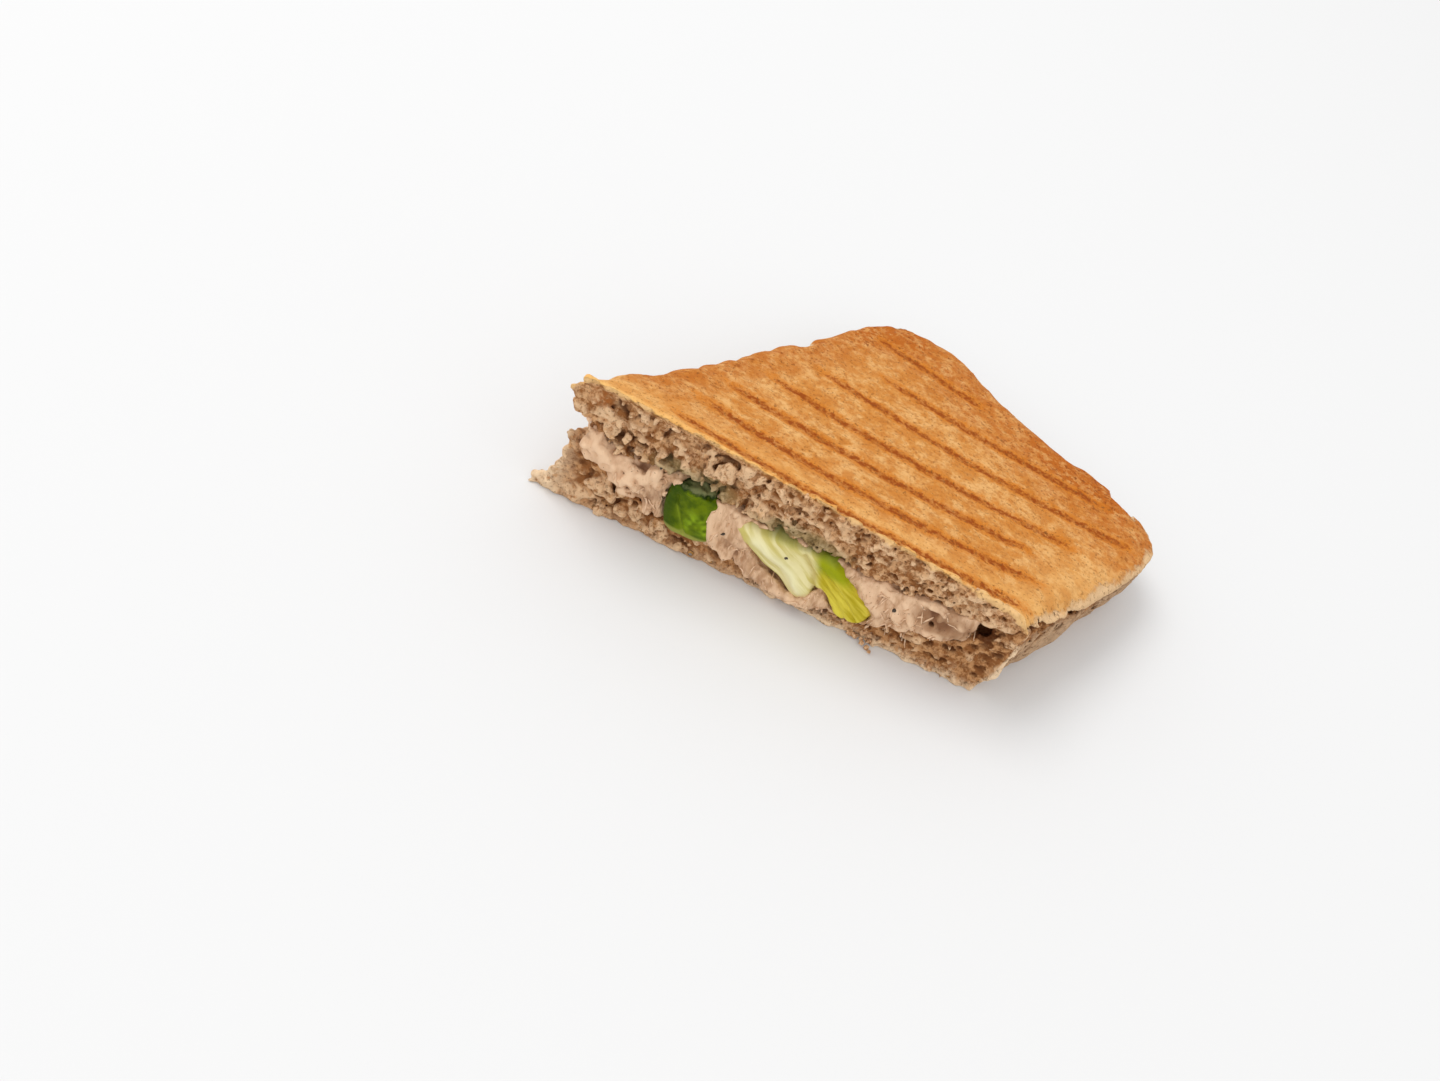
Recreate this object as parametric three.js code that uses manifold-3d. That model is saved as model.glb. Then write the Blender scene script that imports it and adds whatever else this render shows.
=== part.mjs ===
// Half of a toasted tuna sandwich. A long flat loaf is split into two slices, filled with
// tuna and lettuce, pressed between hot ribbed plates and cut slantwise into two halves.
// Units are millimetres: +X runs along the cut face, +Y into the food, +Z up.

import * as THREE from 'three';
import { mergeVertices } from 'three/addons/utils/BufferGeometryUtils.js';
import Module from 'manifold-3d';

const wasm = await Module();
wasm.setup();

// ---------------------------------------------------------------- driving dimensions

const loafDepth = 100;                                // between the two long sides
const longSide = 125;                                 // the longer side, cut to outer end
const cutAngle = THREE.MathUtils.degToRad(62);        // between the cut and the long sides
const outerDip = 3.2;                                 // how far the outer end curves inwards
const outerDipShare = 0.44;                           // where, across from the longer side
const sharpCornerRound = 23;                          // rounding where the longer side ends
const bluntCornerRound = 20;                          // rounding where the shorter side ends
const edgeUneven = 0.45;                              // waviness of the crusted sides
const edgePitch = 2.3;

const cutHeight = 39.2;                               // at the pointed end of the cut face
const cutFall = 7.5;                                  // steady fall of the crust along the cut
const cutDroop = 3.5;                                 // extra fall close to its blunt end
const outerHeight = 16.2;                             // where the plates pressed it thinnest
const pressPower = 0.7;                               // how soon it thins away from the cut

const crustRound = 4.5;                               // width of the rounded crust rim
const crustDrop = 0.08;                               // its fall, as a share of the height
const seamShare = 0.81;                               // height of the seam at the sides
const bedShare = 0.34;                                // filling's floor, well inside
const roofShare = 0.62;                               // filling's ceiling, well inside
const seamGap = 0.5;                                  // between the slices where they meet
const pieceGap = 0.35;                                // between any two neighbours
const cutReach = 22;                                  // how far in the cut's profile holds
const sideReach = 14;                                 // how far in the sides' profile holds

const sideOpening = 9;                                // height of tuna at the longer side
const openingStart = [0.1, 0.22];                     // where it begins, as shares of the side
const openingEnd = [0.6, 0.74];
const openingDepth = 30;                              // how far in the extra height fades out

const flareAtCut = 1.0;                               // crumb of the shorter side bulges out
const flareAtEnd = 0.8;
const flareStart = [0.75, 0.95];                      // only this far across the loaf
const flareBelow = 0.8;                               // share of it that the lower slice has
const crumbBulge = 0.6;
const underRound = 3;                                 // lower rim of the bottom slice
const tipReach = 6.5;                                 // torn tip at the pointed lower corner
const tipLength = 14;

const lobeCentre = new THREE.Vector3(61, 0.6, 6.2);   // tuna that bulges over the cut
const lobeSize = new THREE.Vector3(12.5, 3.2, 5.2);

// ---------------------------------------------------------------- small helpers

const { lerp, smoothstep, clamp } = THREE.MathUtils;
const cutLength = loafDepth / Math.sin(cutAngle);
const loafWay = new THREE.Vector2(Math.cos(cutAngle), Math.sin(cutAngle));
const crossWay = new THREE.Vector2(Math.sin(cutAngle), -Math.cos(cutAngle));

// A place in the loaf's own directions: along the long sides, and across from the longer one.
function place(along, across) {
  return loafWay.clone().multiplyScalar(along).addScaledVector(crossWay, across);
}

function loafCoordinates(x, y) {
  const here = new THREE.Vector2(x, y);
  return { along: here.dot(loafWay), across: here.dot(crossWay) };
}

// Heights along the cut: smooth steps between a few stations of [x, z].
function profile(stations) {
  return (x) => {
    const last = stations.length - 1;
    if (x <= stations[0][0]) return stations[0][1];
    if (x >= stations[last][0]) return stations[last][1];
    const next = stations.findIndex((station) => station[0] > x);
    const [x0, z0] = stations[next - 1];
    const [x1, z1] = stations[next];
    return lerp(z0, z1, smoothstep(x, x0, x1));
  };
}

// A slow, repeatable unevenness, from -1 to 1.
function wobble(t, seed) {
  const slow = Math.sin(0.31 * t + seed);
  const medium = Math.sin(0.83 * t + 2.1 * seed);
  const fast = Math.sin(1.9 * t + 3.7 * seed);
  return 0.5 * slow + 0.3 * medium + 0.2 * fast;
}

// ---------------------------------------------------------------- plan of the loaf

const pointedCorner = place(0, 0);
const bluntCorner = new THREE.Vector2(cutLength, 0);
const farCorner = place(longSide, 0);
const nearCorner = place(longSide, loafDepth);
const hub = place(0.55 * longSide, 0.48 * loafDepth);  // the layers' rings close in on it

// The three crusted sides, from the pointed end of the cut round to its blunt end.
function crustPath() {
  const start = place(longSide - sharpCornerRound, 0);
  const afterFar = place(longSide, sharpCornerRound);
  const dip = place(longSide - 2 * outerDip, outerDipShare * loafDepth);
  const beforeNear = place(longSide, loafDepth - bluntCornerRound);
  const afterNear = place(longSide - bluntCornerRound, loafDepth);
  const path = new THREE.Path();
  path.moveTo(pointedCorner.x, pointedCorner.y);
  path.lineTo(start.x, start.y);
  path.quadraticCurveTo(farCorner.x, farCorner.y, afterFar.x, afterFar.y);
  path.quadraticCurveTo(dip.x, dip.y, beforeNear.x, beforeNear.y);
  path.quadraticCurveTo(nearCorner.x, nearCorner.y, afterNear.x, afterNear.y);
  path.lineTo(bluntCorner.x, bluntCorner.y);
  return path;
}

const crustSteps = 40;
const cutSteps = 36;

// Rim points carry their outward direction. crust is 1 on the crusted sides and 0 on the cut.
// At both ends of the cut the outward direction lies along the cut, which stays flat.
function sliceRim() {
  const crust = crustPath().getSpacedPoints(crustSteps);
  const rim = crust.map((point, i) => {
    const before = crust[Math.max(i - 1, 0)];
    const after = crust[Math.min(i + 1, crustSteps)];
    const way = after.clone().sub(before).normalize();
    const out = new THREE.Vector2(-way.y, way.x);
    const corner = i === 0 || i === crustSteps;
    if (corner) out.set(i === 0 ? -1 : 1, 0);
    const uneven = corner ? 0 : edgeUneven * wobble(i * edgePitch, 1);
    return { at: point.clone().addScaledVector(out, uneven), out, crust: 1 };
  });
  for (let i = 1; i < cutSteps; i += 1) {
    const at = bluntCorner.clone().lerp(pointedCorner, i / cutSteps);
    rim.push({ at, out: new THREE.Vector2(0, -1), crust: 0 });
  }
  return rim;
}

const rim = sliceRim();

// Distance inwards from the nearest crusted side.
function fromCrust(x, y) {
  const here = new THREE.Vector3(x, y, 0);
  const nearest = new THREE.Vector3();
  let least = Infinity;
  for (let i = 0; i < crustSteps; i += 1) {
    const a = new THREE.Vector3(rim[i].at.x, rim[i].at.y, 0);
    const b = new THREE.Vector3(rim[i + 1].at.x, rim[i + 1].at.y, 0);
    new THREE.Line3(a, b).closestPointToPoint(here, true, nearest);
    least = Math.min(least, nearest.distanceTo(here));
  }
  return least;
}

// ---------------------------------------------------------------- heights

// Upper face of the bottom slice and underside of the top slice, seen at the cut.
const bedAtCut = profile([
  [0, 22], [2, 21.5], [4.5, 15], [12, 13.8], [15, 10.6], [20, 9.8], [25, 6.8], [40, 6.6],
  [47, 5.4], [51, 3], [78, 3.1], [81, 4], [85, 7], [92, 10], [102, 11.6], [105.5, 17.4],
  [109, 21.2], [cutLength, 23.4],
]);
const roofAtCut = profile([
  [0, 29], [3, 27.6], [6, 25.6], [9.5, 21.2], [16, 20.4], [25, 22.4], [32, 22.2], [46, 20.6],
  [66, 20.4], [86, 19.8], [95, 21.4], [102, 21.8], [105.5, 20.6], [109, 22.2],
  [cutLength, 24],
]);

// The crust falls along the cut, and every strip of the loaf thins towards the outer end.
function strip(x, y) {
  const { along, across } = loafCoordinates(x, y);
  const startX = clamp(across / Math.sin(cutAngle), 0, cutLength);
  const length = longSide - across / Math.tan(cutAngle);
  const share = clamp(y / Math.sin(cutAngle) / length, 0, 1);
  return { along, across, startX, share };
}

function crownHeight(x, y) {
  const { startX, share } = strip(x, y);
  const t = startX / cutLength;
  const atCut = cutHeight - cutFall * t - cutDroop * t ** 3;
  return lerp(atCut, outerHeight, share ** pressPower);
}

function crustHeight(x, y) {
  const height = crownHeight(x, y);
  const inward = clamp(1 - fromCrust(x, y) / crustRound, 0, 1);
  return height * (1 - crustDrop * inward ** 2);
}

// Part of the longer side where the filling reaches the outside.
function opening(x, y) {
  const { along, across } = strip(x, y);
  const share = along / longSide;
  const window = smoothstep(share, ...openingStart) * (1 - smoothstep(share, ...openingEnd));
  return sideOpening * window * (1 - smoothstep(across, 0, openingDepth));
}

function bedHeight(x, y) {
  const height = crownHeight(x, y);
  const inside = smoothstep(fromCrust(x, y), 1, sideReach);
  const atSide = height * seamShare - opening(x, y);
  const within = lerp(atSide, height * bedShare, inside);
  return lerp(bedAtCut(x), within, smoothstep(y, 0, cutReach));
}

function roofHeight(x, y) {
  const height = crownHeight(x, y);
  const inside = smoothstep(fromCrust(x, y), 1, sideReach);
  const atSide = height * seamShare + seamGap;
  const within = lerp(atSide, height * roofShare, inside);
  return lerp(roofAtCut(x), within, smoothstep(y, 0, cutReach));
}

// Height inside the filling: level 0 is its floor and level 1 its ceiling.
function fillHeight(x, y, level) {
  const floor = bedHeight(x, y) + pieceGap;
  const ceiling = roofHeight(x, y) - pieceGap;
  return lerp(floor, ceiling, level);
}

// ---------------------------------------------------------------- solids

// Triangles that shrink to nothing when shared points merge are left out.
function solidFrom(positions, index) {
  const geometry = new THREE.BufferGeometry();
  geometry.setAttribute('position', new THREE.Float32BufferAttribute(positions, 3));
  geometry.setIndex(index);
  const merged = mergeVertices(geometry, 1e-4);
  const corners = merged.getIndex().array;
  const kept = [];
  for (let i = 0; i < corners.length; i += 3) {
    const [a, b, c] = corners.slice(i, i + 3);
    if (a !== b && b !== c && c !== a) kept.push(a, b, c);
  }
  merged.setIndex(kept);
  return merged;
}

// Joins two loops of the same number of points; the first loop lies above or outside.
function addBand(index, first, second, count) {
  for (let i = 0; i < count; i += 1) {
    const j = (i + 1) % count;
    index.push(first + i, first + j, second + i);
    index.push(first + j, second + j, second + i);
  }
}

const ringShares = [0.3, 0.54, 0.72, 0.85, 0.93, 0.975, 1];

// A layer: rings over its top, a wall of several rows, then rings back under it.
// wallRows lists shares of the wall's height, and reach says how far a rim point moves out.
// grow thickens the whole layer on every side.
function layer(rimPoints, centre, { low, high, wallRows, reach, grow = 0 }) {
  const count = rimPoints.length;
  const positions = [];
  const index = [];
  const ringStarts = [];
  const moved = (point, share, extra) => {
    return point.at.clone().addScaledVector(point.out, reach(point, share) + extra);
  };
  const addRing = (points, height) => {
    ringStarts.push(positions.length / 3);
    points.forEach((point, i) => positions.push(point.x, point.y, height(point, i)));
  };
  const top = (x, y) => high(x, y) + grow;
  const under = (x, y) => low(x, y) - grow;
  const topHeights = rimPoints.map((point) => top(point.at.x, point.at.y));
  const lowHeights = rimPoints.map((point) => under(point.at.x, point.at.y));

  positions.push(centre.x, centre.y, top(centre.x, centre.y));
  for (const share of ringShares) {
    const points = rimPoints.map((point) => centre.clone().lerp(moved(point, 0, 0), share));
    addRing(points, (p) => top(p.x, p.y));
  }
  for (const row of [0, ...wallRows, 1]) {
    const points = rimPoints.map((point) => moved(point, row, grow));
    addRing(points, (point, i) => lerp(topHeights[i], lowHeights[i], row));
  }
  for (const share of ringShares.toReversed()) {
    const points = rimPoints.map((point) => centre.clone().lerp(moved(point, 1, 0), share));
    addRing(points, (p) => under(p.x, p.y));
  }
  const lowCentre = positions.length / 3;
  positions.push(centre.x, centre.y, under(centre.x, centre.y));

  const firstRing = ringStarts[0];
  const lastRing = ringStarts[ringStarts.length - 1];
  for (let i = 0; i < count; i += 1) {
    const j = (i + 1) % count;
    index.push(0, firstRing + j, firstRing + i);
    index.push(lowCentre, lastRing + i, lastRing + j);
  }
  for (let k = 0; k + 1 < ringStarts.length; k += 1) {
    addBand(index, ringStarts[k], ringStarts[k + 1], count);
  }
  return solidFrom(positions, index);
}

function toManifold(geometry) {
  const mesh = new wasm.Mesh({
    numProp: 3,
    vertProperties: geometry.getAttribute('position').array,
    triVerts: Uint32Array.from(geometry.getIndex().array),
  });
  return new wasm.Manifold(mesh);
}

function fromManifold(solid) {
  const { vertProperties, triVerts } = solid.getMesh();
  return solidFrom(Array.from(vertProperties), Array.from(triVerts));
}

// ---------------------------------------------------------------- the two slices

// Bulge of the shorter side's crumb, greatest at the cut.
function flare(point) {
  const { across, share } = strip(point.at.x, point.at.y);
  const onShortSide = smoothstep(across / loafDepth, ...flareStart);
  return point.crust * onShortSide * lerp(flareAtCut, flareAtEnd, share);
}

// How much a rim point belongs to the torn tip of the bottom slice.
function tipShare(point) {
  const fromTip = point.at.distanceTo(pointedCorner);
  return point.crust * (1 - smoothstep(fromTip, 0, tipLength));
}

function topSlice(grow) {
  return layer(rim, hub, {
    low: roofHeight,
    high: crustHeight,
    grow,
    wallRows: [0.35, 0.7],
    reach: (point, share) => {
      const bulge = point.crust * crumbBulge * Math.sin(Math.PI * share);
      return bulge + flare(point) * Math.sqrt(share);
    },
  });
}

function bottomSlice(grow) {
  return layer(rim, hub, {
    low: () => 0,
    high: bedHeight,
    grow,
    wallRows: [0.3, 0.6, 0.85],
    reach: (point, share) => {
      const side = flareBelow * flare(point) * (1 - share);
      const under = point.crust * underRound * (1 - tipShare(point)) * share ** 4;
      return side - under + tipReach * tipShare(point) * share ** 3;
    },
  });
}

// ---------------------------------------------------------------- lettuce

const frontClearance = 8;                             // a grown copy also cuts what lies before it

// A piece of lettuce that shows at the cut and runs in through the tuna. outline lists
// [x, z] round its face at the cut; stations say how it drifts and shrinks further in.
function lettuce(outline, stations, grow) {
  const knots = outline.map(([x, z]) => new THREE.Vector3(x, 0, z));
  const face = new THREE.CatmullRomCurve3(knots, true);
  const points = face.getSpacedPoints(outline.length * 2).slice(0, -1);
  const sum = points.reduce((total, p) => total.add(p), new THREE.Vector3());
  const centre = sum.divideScalar(points.length);
  const levelAtCut = (x, z) => {
    const floor = fillHeight(x, 0, 0);
    return clamp((z - floor) / (fillHeight(x, 0, 1) - floor), 0, 1);
  };
  const middleLevel = levelAtCut(centre.x, centre.z);
  const section = ({ size, drift }, y) => points.map((p) => {
    const x = centre.x + drift + (p.x - centre.x) * size;
    const level = lerp(middleLevel, levelAtCut(p.x, p.z), size);
    return new THREE.Vector3(x, y, fillHeight(x, Math.max(y, 0), level));
  });
  const grown = (loop) => loop.map((p, i) => {
    const way = loop[(i + 1) % loop.length].clone().sub(loop.at(i - 1)).normalize();
    return new THREE.Vector3(p.x - way.z * grow, p.y, p.z + way.x * grow);
  });
  const positions = [];
  const index = [];
  stations.forEach((station, i) => {
    const forward = i === 0 ? -frontClearance * grow : 0;
    const behind = i === stations.length - 1 ? grow : 0;
    const loop = grown(section(station, station.y + forward + behind));
    loop.forEach((p) => positions.push(p.x, p.y, p.z));
  });
  for (let k = 0; k + 1 < stations.length; k += 1) {
    addBand(index, k * points.length, (k + 1) * points.length, points.length);
  }
  const contour = points.map((p) => new THREE.Vector2(p.x, p.z));
  const back = (stations.length - 1) * points.length;
  for (const [a, b, c] of THREE.ShapeUtils.triangulateShape(contour, [])) {
    index.push(a, b, c);
    index.push(back + a, back + c, back + b);
  }
  return solidFrom(positions, index);
}

const greenOutline = [
  [28.4, 19.6], [33, 21.4], [38.8, 20.8], [39.2, 14], [39.8, 8.4], [34, 7.4], [28.8, 7.6],
  [27.6, 13.5],
];
const greenStations = [
  { y: -0.8, size: 0.93, drift: 0 },
  { y: 0.5, size: 1, drift: 0 },
  { y: 12, size: 0.95, drift: 1 },
  { y: 26, size: 0.8, drift: 4 },
  { y: 38, size: 0.5, drift: 7 },
];

const paleOutline = [
  [45.6, 17.6], [53, 19.4], [62, 19.2], [69, 19.6], [74.5, 15], [80, 12.6], [82.2, 8], [79.5, 4.8],
  [74, 4.6], [71, 8.6], [68, 11.6], [66.2, 5.4], [62.4, 5], [58.6, 7.8], [53, 9.8], [49.4, 13.4],
];
const paleStations = [
  { y: -1.2, size: 0.95, drift: 0 },
  { y: 0.5, size: 1, drift: 0 },
  { y: 16, size: 0.97, drift: 2 },
  { y: 34, size: 0.85, drift: 6 },
  { y: 50, size: 0.55, drift: 9 },
];

// ---------------------------------------------------------------- tuna filling

const fillInset = 9;                                  // it stops short of the closed sides
const fillRound = 13;
const fillFront = 0.1;                                // its rim starts just behind the cut
const fillStart = 5;                                  // from the pointed end of the cut
const smearInset = 1.2;                               // where it reaches the longer side
const smearFrom = 0.16 * longSide;
const smearTo = 0.66 * longSide;
const smearEnd = 0.74 * longSide;
const fillSteps = 64;
const fillExcess = 1.4;
const fillBulge = 1.5;                                // how far it swells out of the cut
const fillUneven = 0.9;
const fillPitch = 0.9;

// Plan of the filling: along the cut, round inside the closed sides, and out to the longer
// side, where some of it shows.
function tunaRim() {
  const innerEnd = longSide - fillInset;
  const innerSide = loafDepth - fillInset;
  const corners = {
    bluntEnd: new THREE.Vector2(cutLength - fillInset / Math.sin(cutAngle), fillFront),
    nearStart: place(innerEnd - fillRound, innerSide),
    near: place(innerEnd, innerSide),
    nearEnd: place(innerEnd, innerSide - fillRound),
    farStart: place(innerEnd, fillInset + fillRound),
    far: place(innerEnd, fillInset),
    farEnd: place(innerEnd - fillRound, fillInset),
    turn: place(smearEnd, smearInset),
    smearStart: place(smearTo, smearInset),
    smearEnd: place(smearFrom, smearInset),
  };
  const path = new THREE.Path();
  const lineTo = (point) => path.lineTo(point.x, point.y);
  const curveTo = (bend, point) => path.quadraticCurveTo(bend.x, bend.y, point.x, point.y);
  path.moveTo(fillStart, fillFront);
  lineTo(corners.bluntEnd);
  lineTo(corners.nearStart);
  curveTo(corners.near, corners.nearEnd);
  lineTo(corners.farStart);
  curveTo(corners.far, corners.farEnd);
  curveTo(corners.turn, corners.smearStart);
  lineTo(corners.smearEnd);
  path.closePath();
  const points = path.getSpacedPoints(fillSteps).slice(0, -1).reverse();
  return points.map((point, i) => {
    const way = points[(i + 1) % points.length].clone().sub(points.at(i - 1)).normalize();
    return { at: point, out: new THREE.Vector2(-way.y, way.x), crust: 0 };
  });
}

// The filling is made a little too tall, and its neighbours then cut it to shape.
function tunaFilling(neighbours) {
  const body = layer(tunaRim(), hub, {
    low: (x, y) => bedHeight(x, Math.max(y, 0)) - fillExcess,
    high: (x, y) => roofHeight(x, Math.max(y, 0)) + fillExcess,
    wallRows: [0.25, 0.42, 0.58, 0.75],
    reach: (point, share) => {
      const bulge = Math.sin(Math.PI * share) ** 2;
      return bulge * (fillBulge + fillUneven * wobble(point.at.x * fillPitch + 5 * share, 4));
    },
  });
  const lobe = new THREE.SphereGeometry(1, 16, 10);
  lobe.deleteAttribute('normal');
  lobe.deleteAttribute('uv');
  lobe.scale(lobeSize.x, lobeSize.y, lobeSize.z);
  lobe.translate(lobeCentre.x, lobeCentre.y, lobeCentre.z);
  let tuna = toManifold(body).add(toManifold(mergeVertices(lobe)));
  for (const neighbour of neighbours) {
    tuna = tuna.subtract(toManifold(neighbour));
  }
  return fromManifold(tuna);
}

// ---------------------------------------------------------------- the sandwich

function food(name, geometry, colour, roughness) {
  const shaded = geometry.clone();
  shaded.computeVertexNormals();
  const material = new THREE.MeshStandardMaterial({ color: colour, roughness, metalness: 0 });
  const mesh = new THREE.Mesh(shaded, material);
  mesh.name = name;
  return mesh;
}

const greenLeaf = (grow) => lettuce(greenOutline, greenStations, grow);
const paleLeaf = (grow) => lettuce(paleOutline, paleStations, grow);

const neighbours = [
  bottomSlice(pieceGap), topSlice(pieceGap), greenLeaf(pieceGap), paleLeaf(pieceGap),
];

const halfSandwich = new THREE.Group();
halfSandwich.add(
  food('bottom_slice', bottomSlice(0), 0xb68a60, 0.85),
  food('top_slice', topSlice(0), 0xd6934e, 0.7),
  food('tuna_filling', tunaFilling(neighbours), 0xdbb795, 0.6),
  food('lettuce_green', greenLeaf(0), 0x6f8f16, 0.4),
  food('lettuce_pale', paleLeaf(0), 0xd2cb80, 0.4),
);

// The origin sits under the middle of the food, on the surface that it rests on.
const bounds = new THREE.Box3().setFromObject(halfSandwich);
const centre = bounds.getCenter(new THREE.Vector3());
halfSandwich.position.set(-centre.x, -centre.y, -bounds.min.z);

const sandwich = new THREE.Group();
sandwich.add(halfSandwich);

export default sandwich;
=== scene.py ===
# %% [markdown]
# # Half of a toasted tuna sandwich
#
# This lesson finishes a sandwich that a CAD model has already laid out: two slices of
# wholemeal bread, a tuna filling and two pieces of lettuce. The CAD solids have the right
# size and outline but smooth skins. Real bread is torn, porous and toasted, so each solid is
# turned into fine voxels, carved, and meshed again inside the same outline.

# %% Load the frame
import math

import bpy
import numpy as np
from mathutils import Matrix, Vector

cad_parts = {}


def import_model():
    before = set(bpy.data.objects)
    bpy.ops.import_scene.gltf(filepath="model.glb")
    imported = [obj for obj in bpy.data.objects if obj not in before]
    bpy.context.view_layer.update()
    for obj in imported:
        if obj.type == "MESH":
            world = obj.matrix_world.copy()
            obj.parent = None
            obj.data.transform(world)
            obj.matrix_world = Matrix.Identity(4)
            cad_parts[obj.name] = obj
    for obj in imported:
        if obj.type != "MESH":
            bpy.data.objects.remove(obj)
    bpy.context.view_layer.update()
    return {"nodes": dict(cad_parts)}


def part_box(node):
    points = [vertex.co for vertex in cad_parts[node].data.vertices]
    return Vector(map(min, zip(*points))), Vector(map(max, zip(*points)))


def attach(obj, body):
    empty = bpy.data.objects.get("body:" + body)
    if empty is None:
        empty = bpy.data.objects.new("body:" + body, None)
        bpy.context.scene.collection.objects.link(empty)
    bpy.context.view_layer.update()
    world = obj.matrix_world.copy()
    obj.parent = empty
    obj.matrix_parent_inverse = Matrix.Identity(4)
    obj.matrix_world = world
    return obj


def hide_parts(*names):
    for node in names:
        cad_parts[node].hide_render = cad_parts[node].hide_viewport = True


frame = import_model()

import openvdb
from mathutils import Matrix, Vector

MM = 0.001

# %% [markdown]
# ## Camera
#
# The camera looks down at the sandwich steeply enough to show the crust, and low enough to
# show the filling at the cut. It also rolls a little, so that the food seems to lean. A place,
# a heading, a steepness and a roll say it all.

# %% Set up the camera
camera_place = Vector((0.65, -254.5, 219.5)) * MM
camera_heading = math.radians(7.15)
camera_steepness = math.radians(45.6)
camera_roll = math.radians(20.3)
camera_lens = 31.25

ahead = Vector((
    -math.sin(camera_heading) * math.cos(camera_steepness),
    math.cos(camera_heading) * math.cos(camera_steepness),
    -math.sin(camera_steepness),
))
level = (-ahead).to_track_quat("Z", "Y")
camera = bpy.data.objects.new("camera", bpy.data.cameras.new("camera"))
camera.location = camera_place
camera.rotation_mode = "QUATERNION"
camera.rotation_quaternion = level @ Matrix.Rotation(camera_roll, 3, "Z").to_quaternion()
camera.data.lens = camera_lens
camera.data.sensor_width = 36
camera.data.clip_start = 0.01
bpy.context.scene.collection.objects.link(camera)
bpy.context.scene.camera = camera
print("camera looks along", [round(v, 3) for v in ahead])

# %% [markdown]
# ## Floor and light
#
# The backdrop is a plain white floor. One wide soft box hangs above, a second one fills the
# cut face from the front, and a white surround keeps every shadow soft and light.

# %% Lay the floor and hang the lights
overhead = Vector((-0.28, 0.05, 0.96)).normalized()


def soft_box(name, direction, distance, width, power):
    """Hangs a round area light that faces the food from a direction."""
    lamp = bpy.data.lights.new(name, "AREA")
    lamp.shape = "DISK"
    lamp.size = width
    lamp.energy = power
    holder = bpy.data.objects.new(name, lamp)
    holder.location = direction.normalized() * distance
    holder.rotation_mode = "QUATERNION"
    holder.rotation_quaternion = direction.to_track_quat("Z", "Y")
    bpy.context.scene.collection.objects.link(holder)
    print(name, "shines at", power, "W from", distance, "m away")


soft_box("key_light", overhead + Vector((-0.25, 0.15, 0)), distance=2.4, width=1.5, power=20.5)
soft_box("front_light", Vector((0.25, -1, 0.75)), distance=2.2, width=1.5, power=5)

world = bpy.data.worlds.new("surround")
world.use_nodes = True
surround = world.node_tree.nodes["Background"]
surround.inputs["Color"].default_value = (1, 1, 1, 1)
surround.inputs["Strength"].default_value = 0.96
bpy.context.scene.world = world
bpy.context.scene.view_settings.view_transform = "Standard"

# %% [markdown]
# ## A short way to write shaders
#
# A shader is a formula, but Blender draws it as boxes and wires. The small class below lets
# a formula be written as one: adding two values adds the Math node that does it. Every other
# node comes from one method, which sets its options first and its sockets afterwards.

# %% Values and paints
class Value:
    """A shader socket that takes part in sums and products."""

    def __init__(self, paint, socket):
        self.paint = paint
        self.socket = socket

    def _with(self, operation, other, swapped=False):
        first, second = (other, self) if swapped else (self, other)
        return self.paint.node("ShaderNodeMath", {"operation": operation}, {0: first, 1: second})

    def __add__(self, other):
        return self._with("ADD", other)

    def __radd__(self, other):
        return self._with("ADD", other, True)

    def __sub__(self, other):
        return self._with("SUBTRACT", other)

    def __rsub__(self, other):
        return self._with("SUBTRACT", other, True)

    def __mul__(self, other):
        return self._with("MULTIPLY", other)

    def __rmul__(self, other):
        return self._with("MULTIPLY", other, True)


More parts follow.
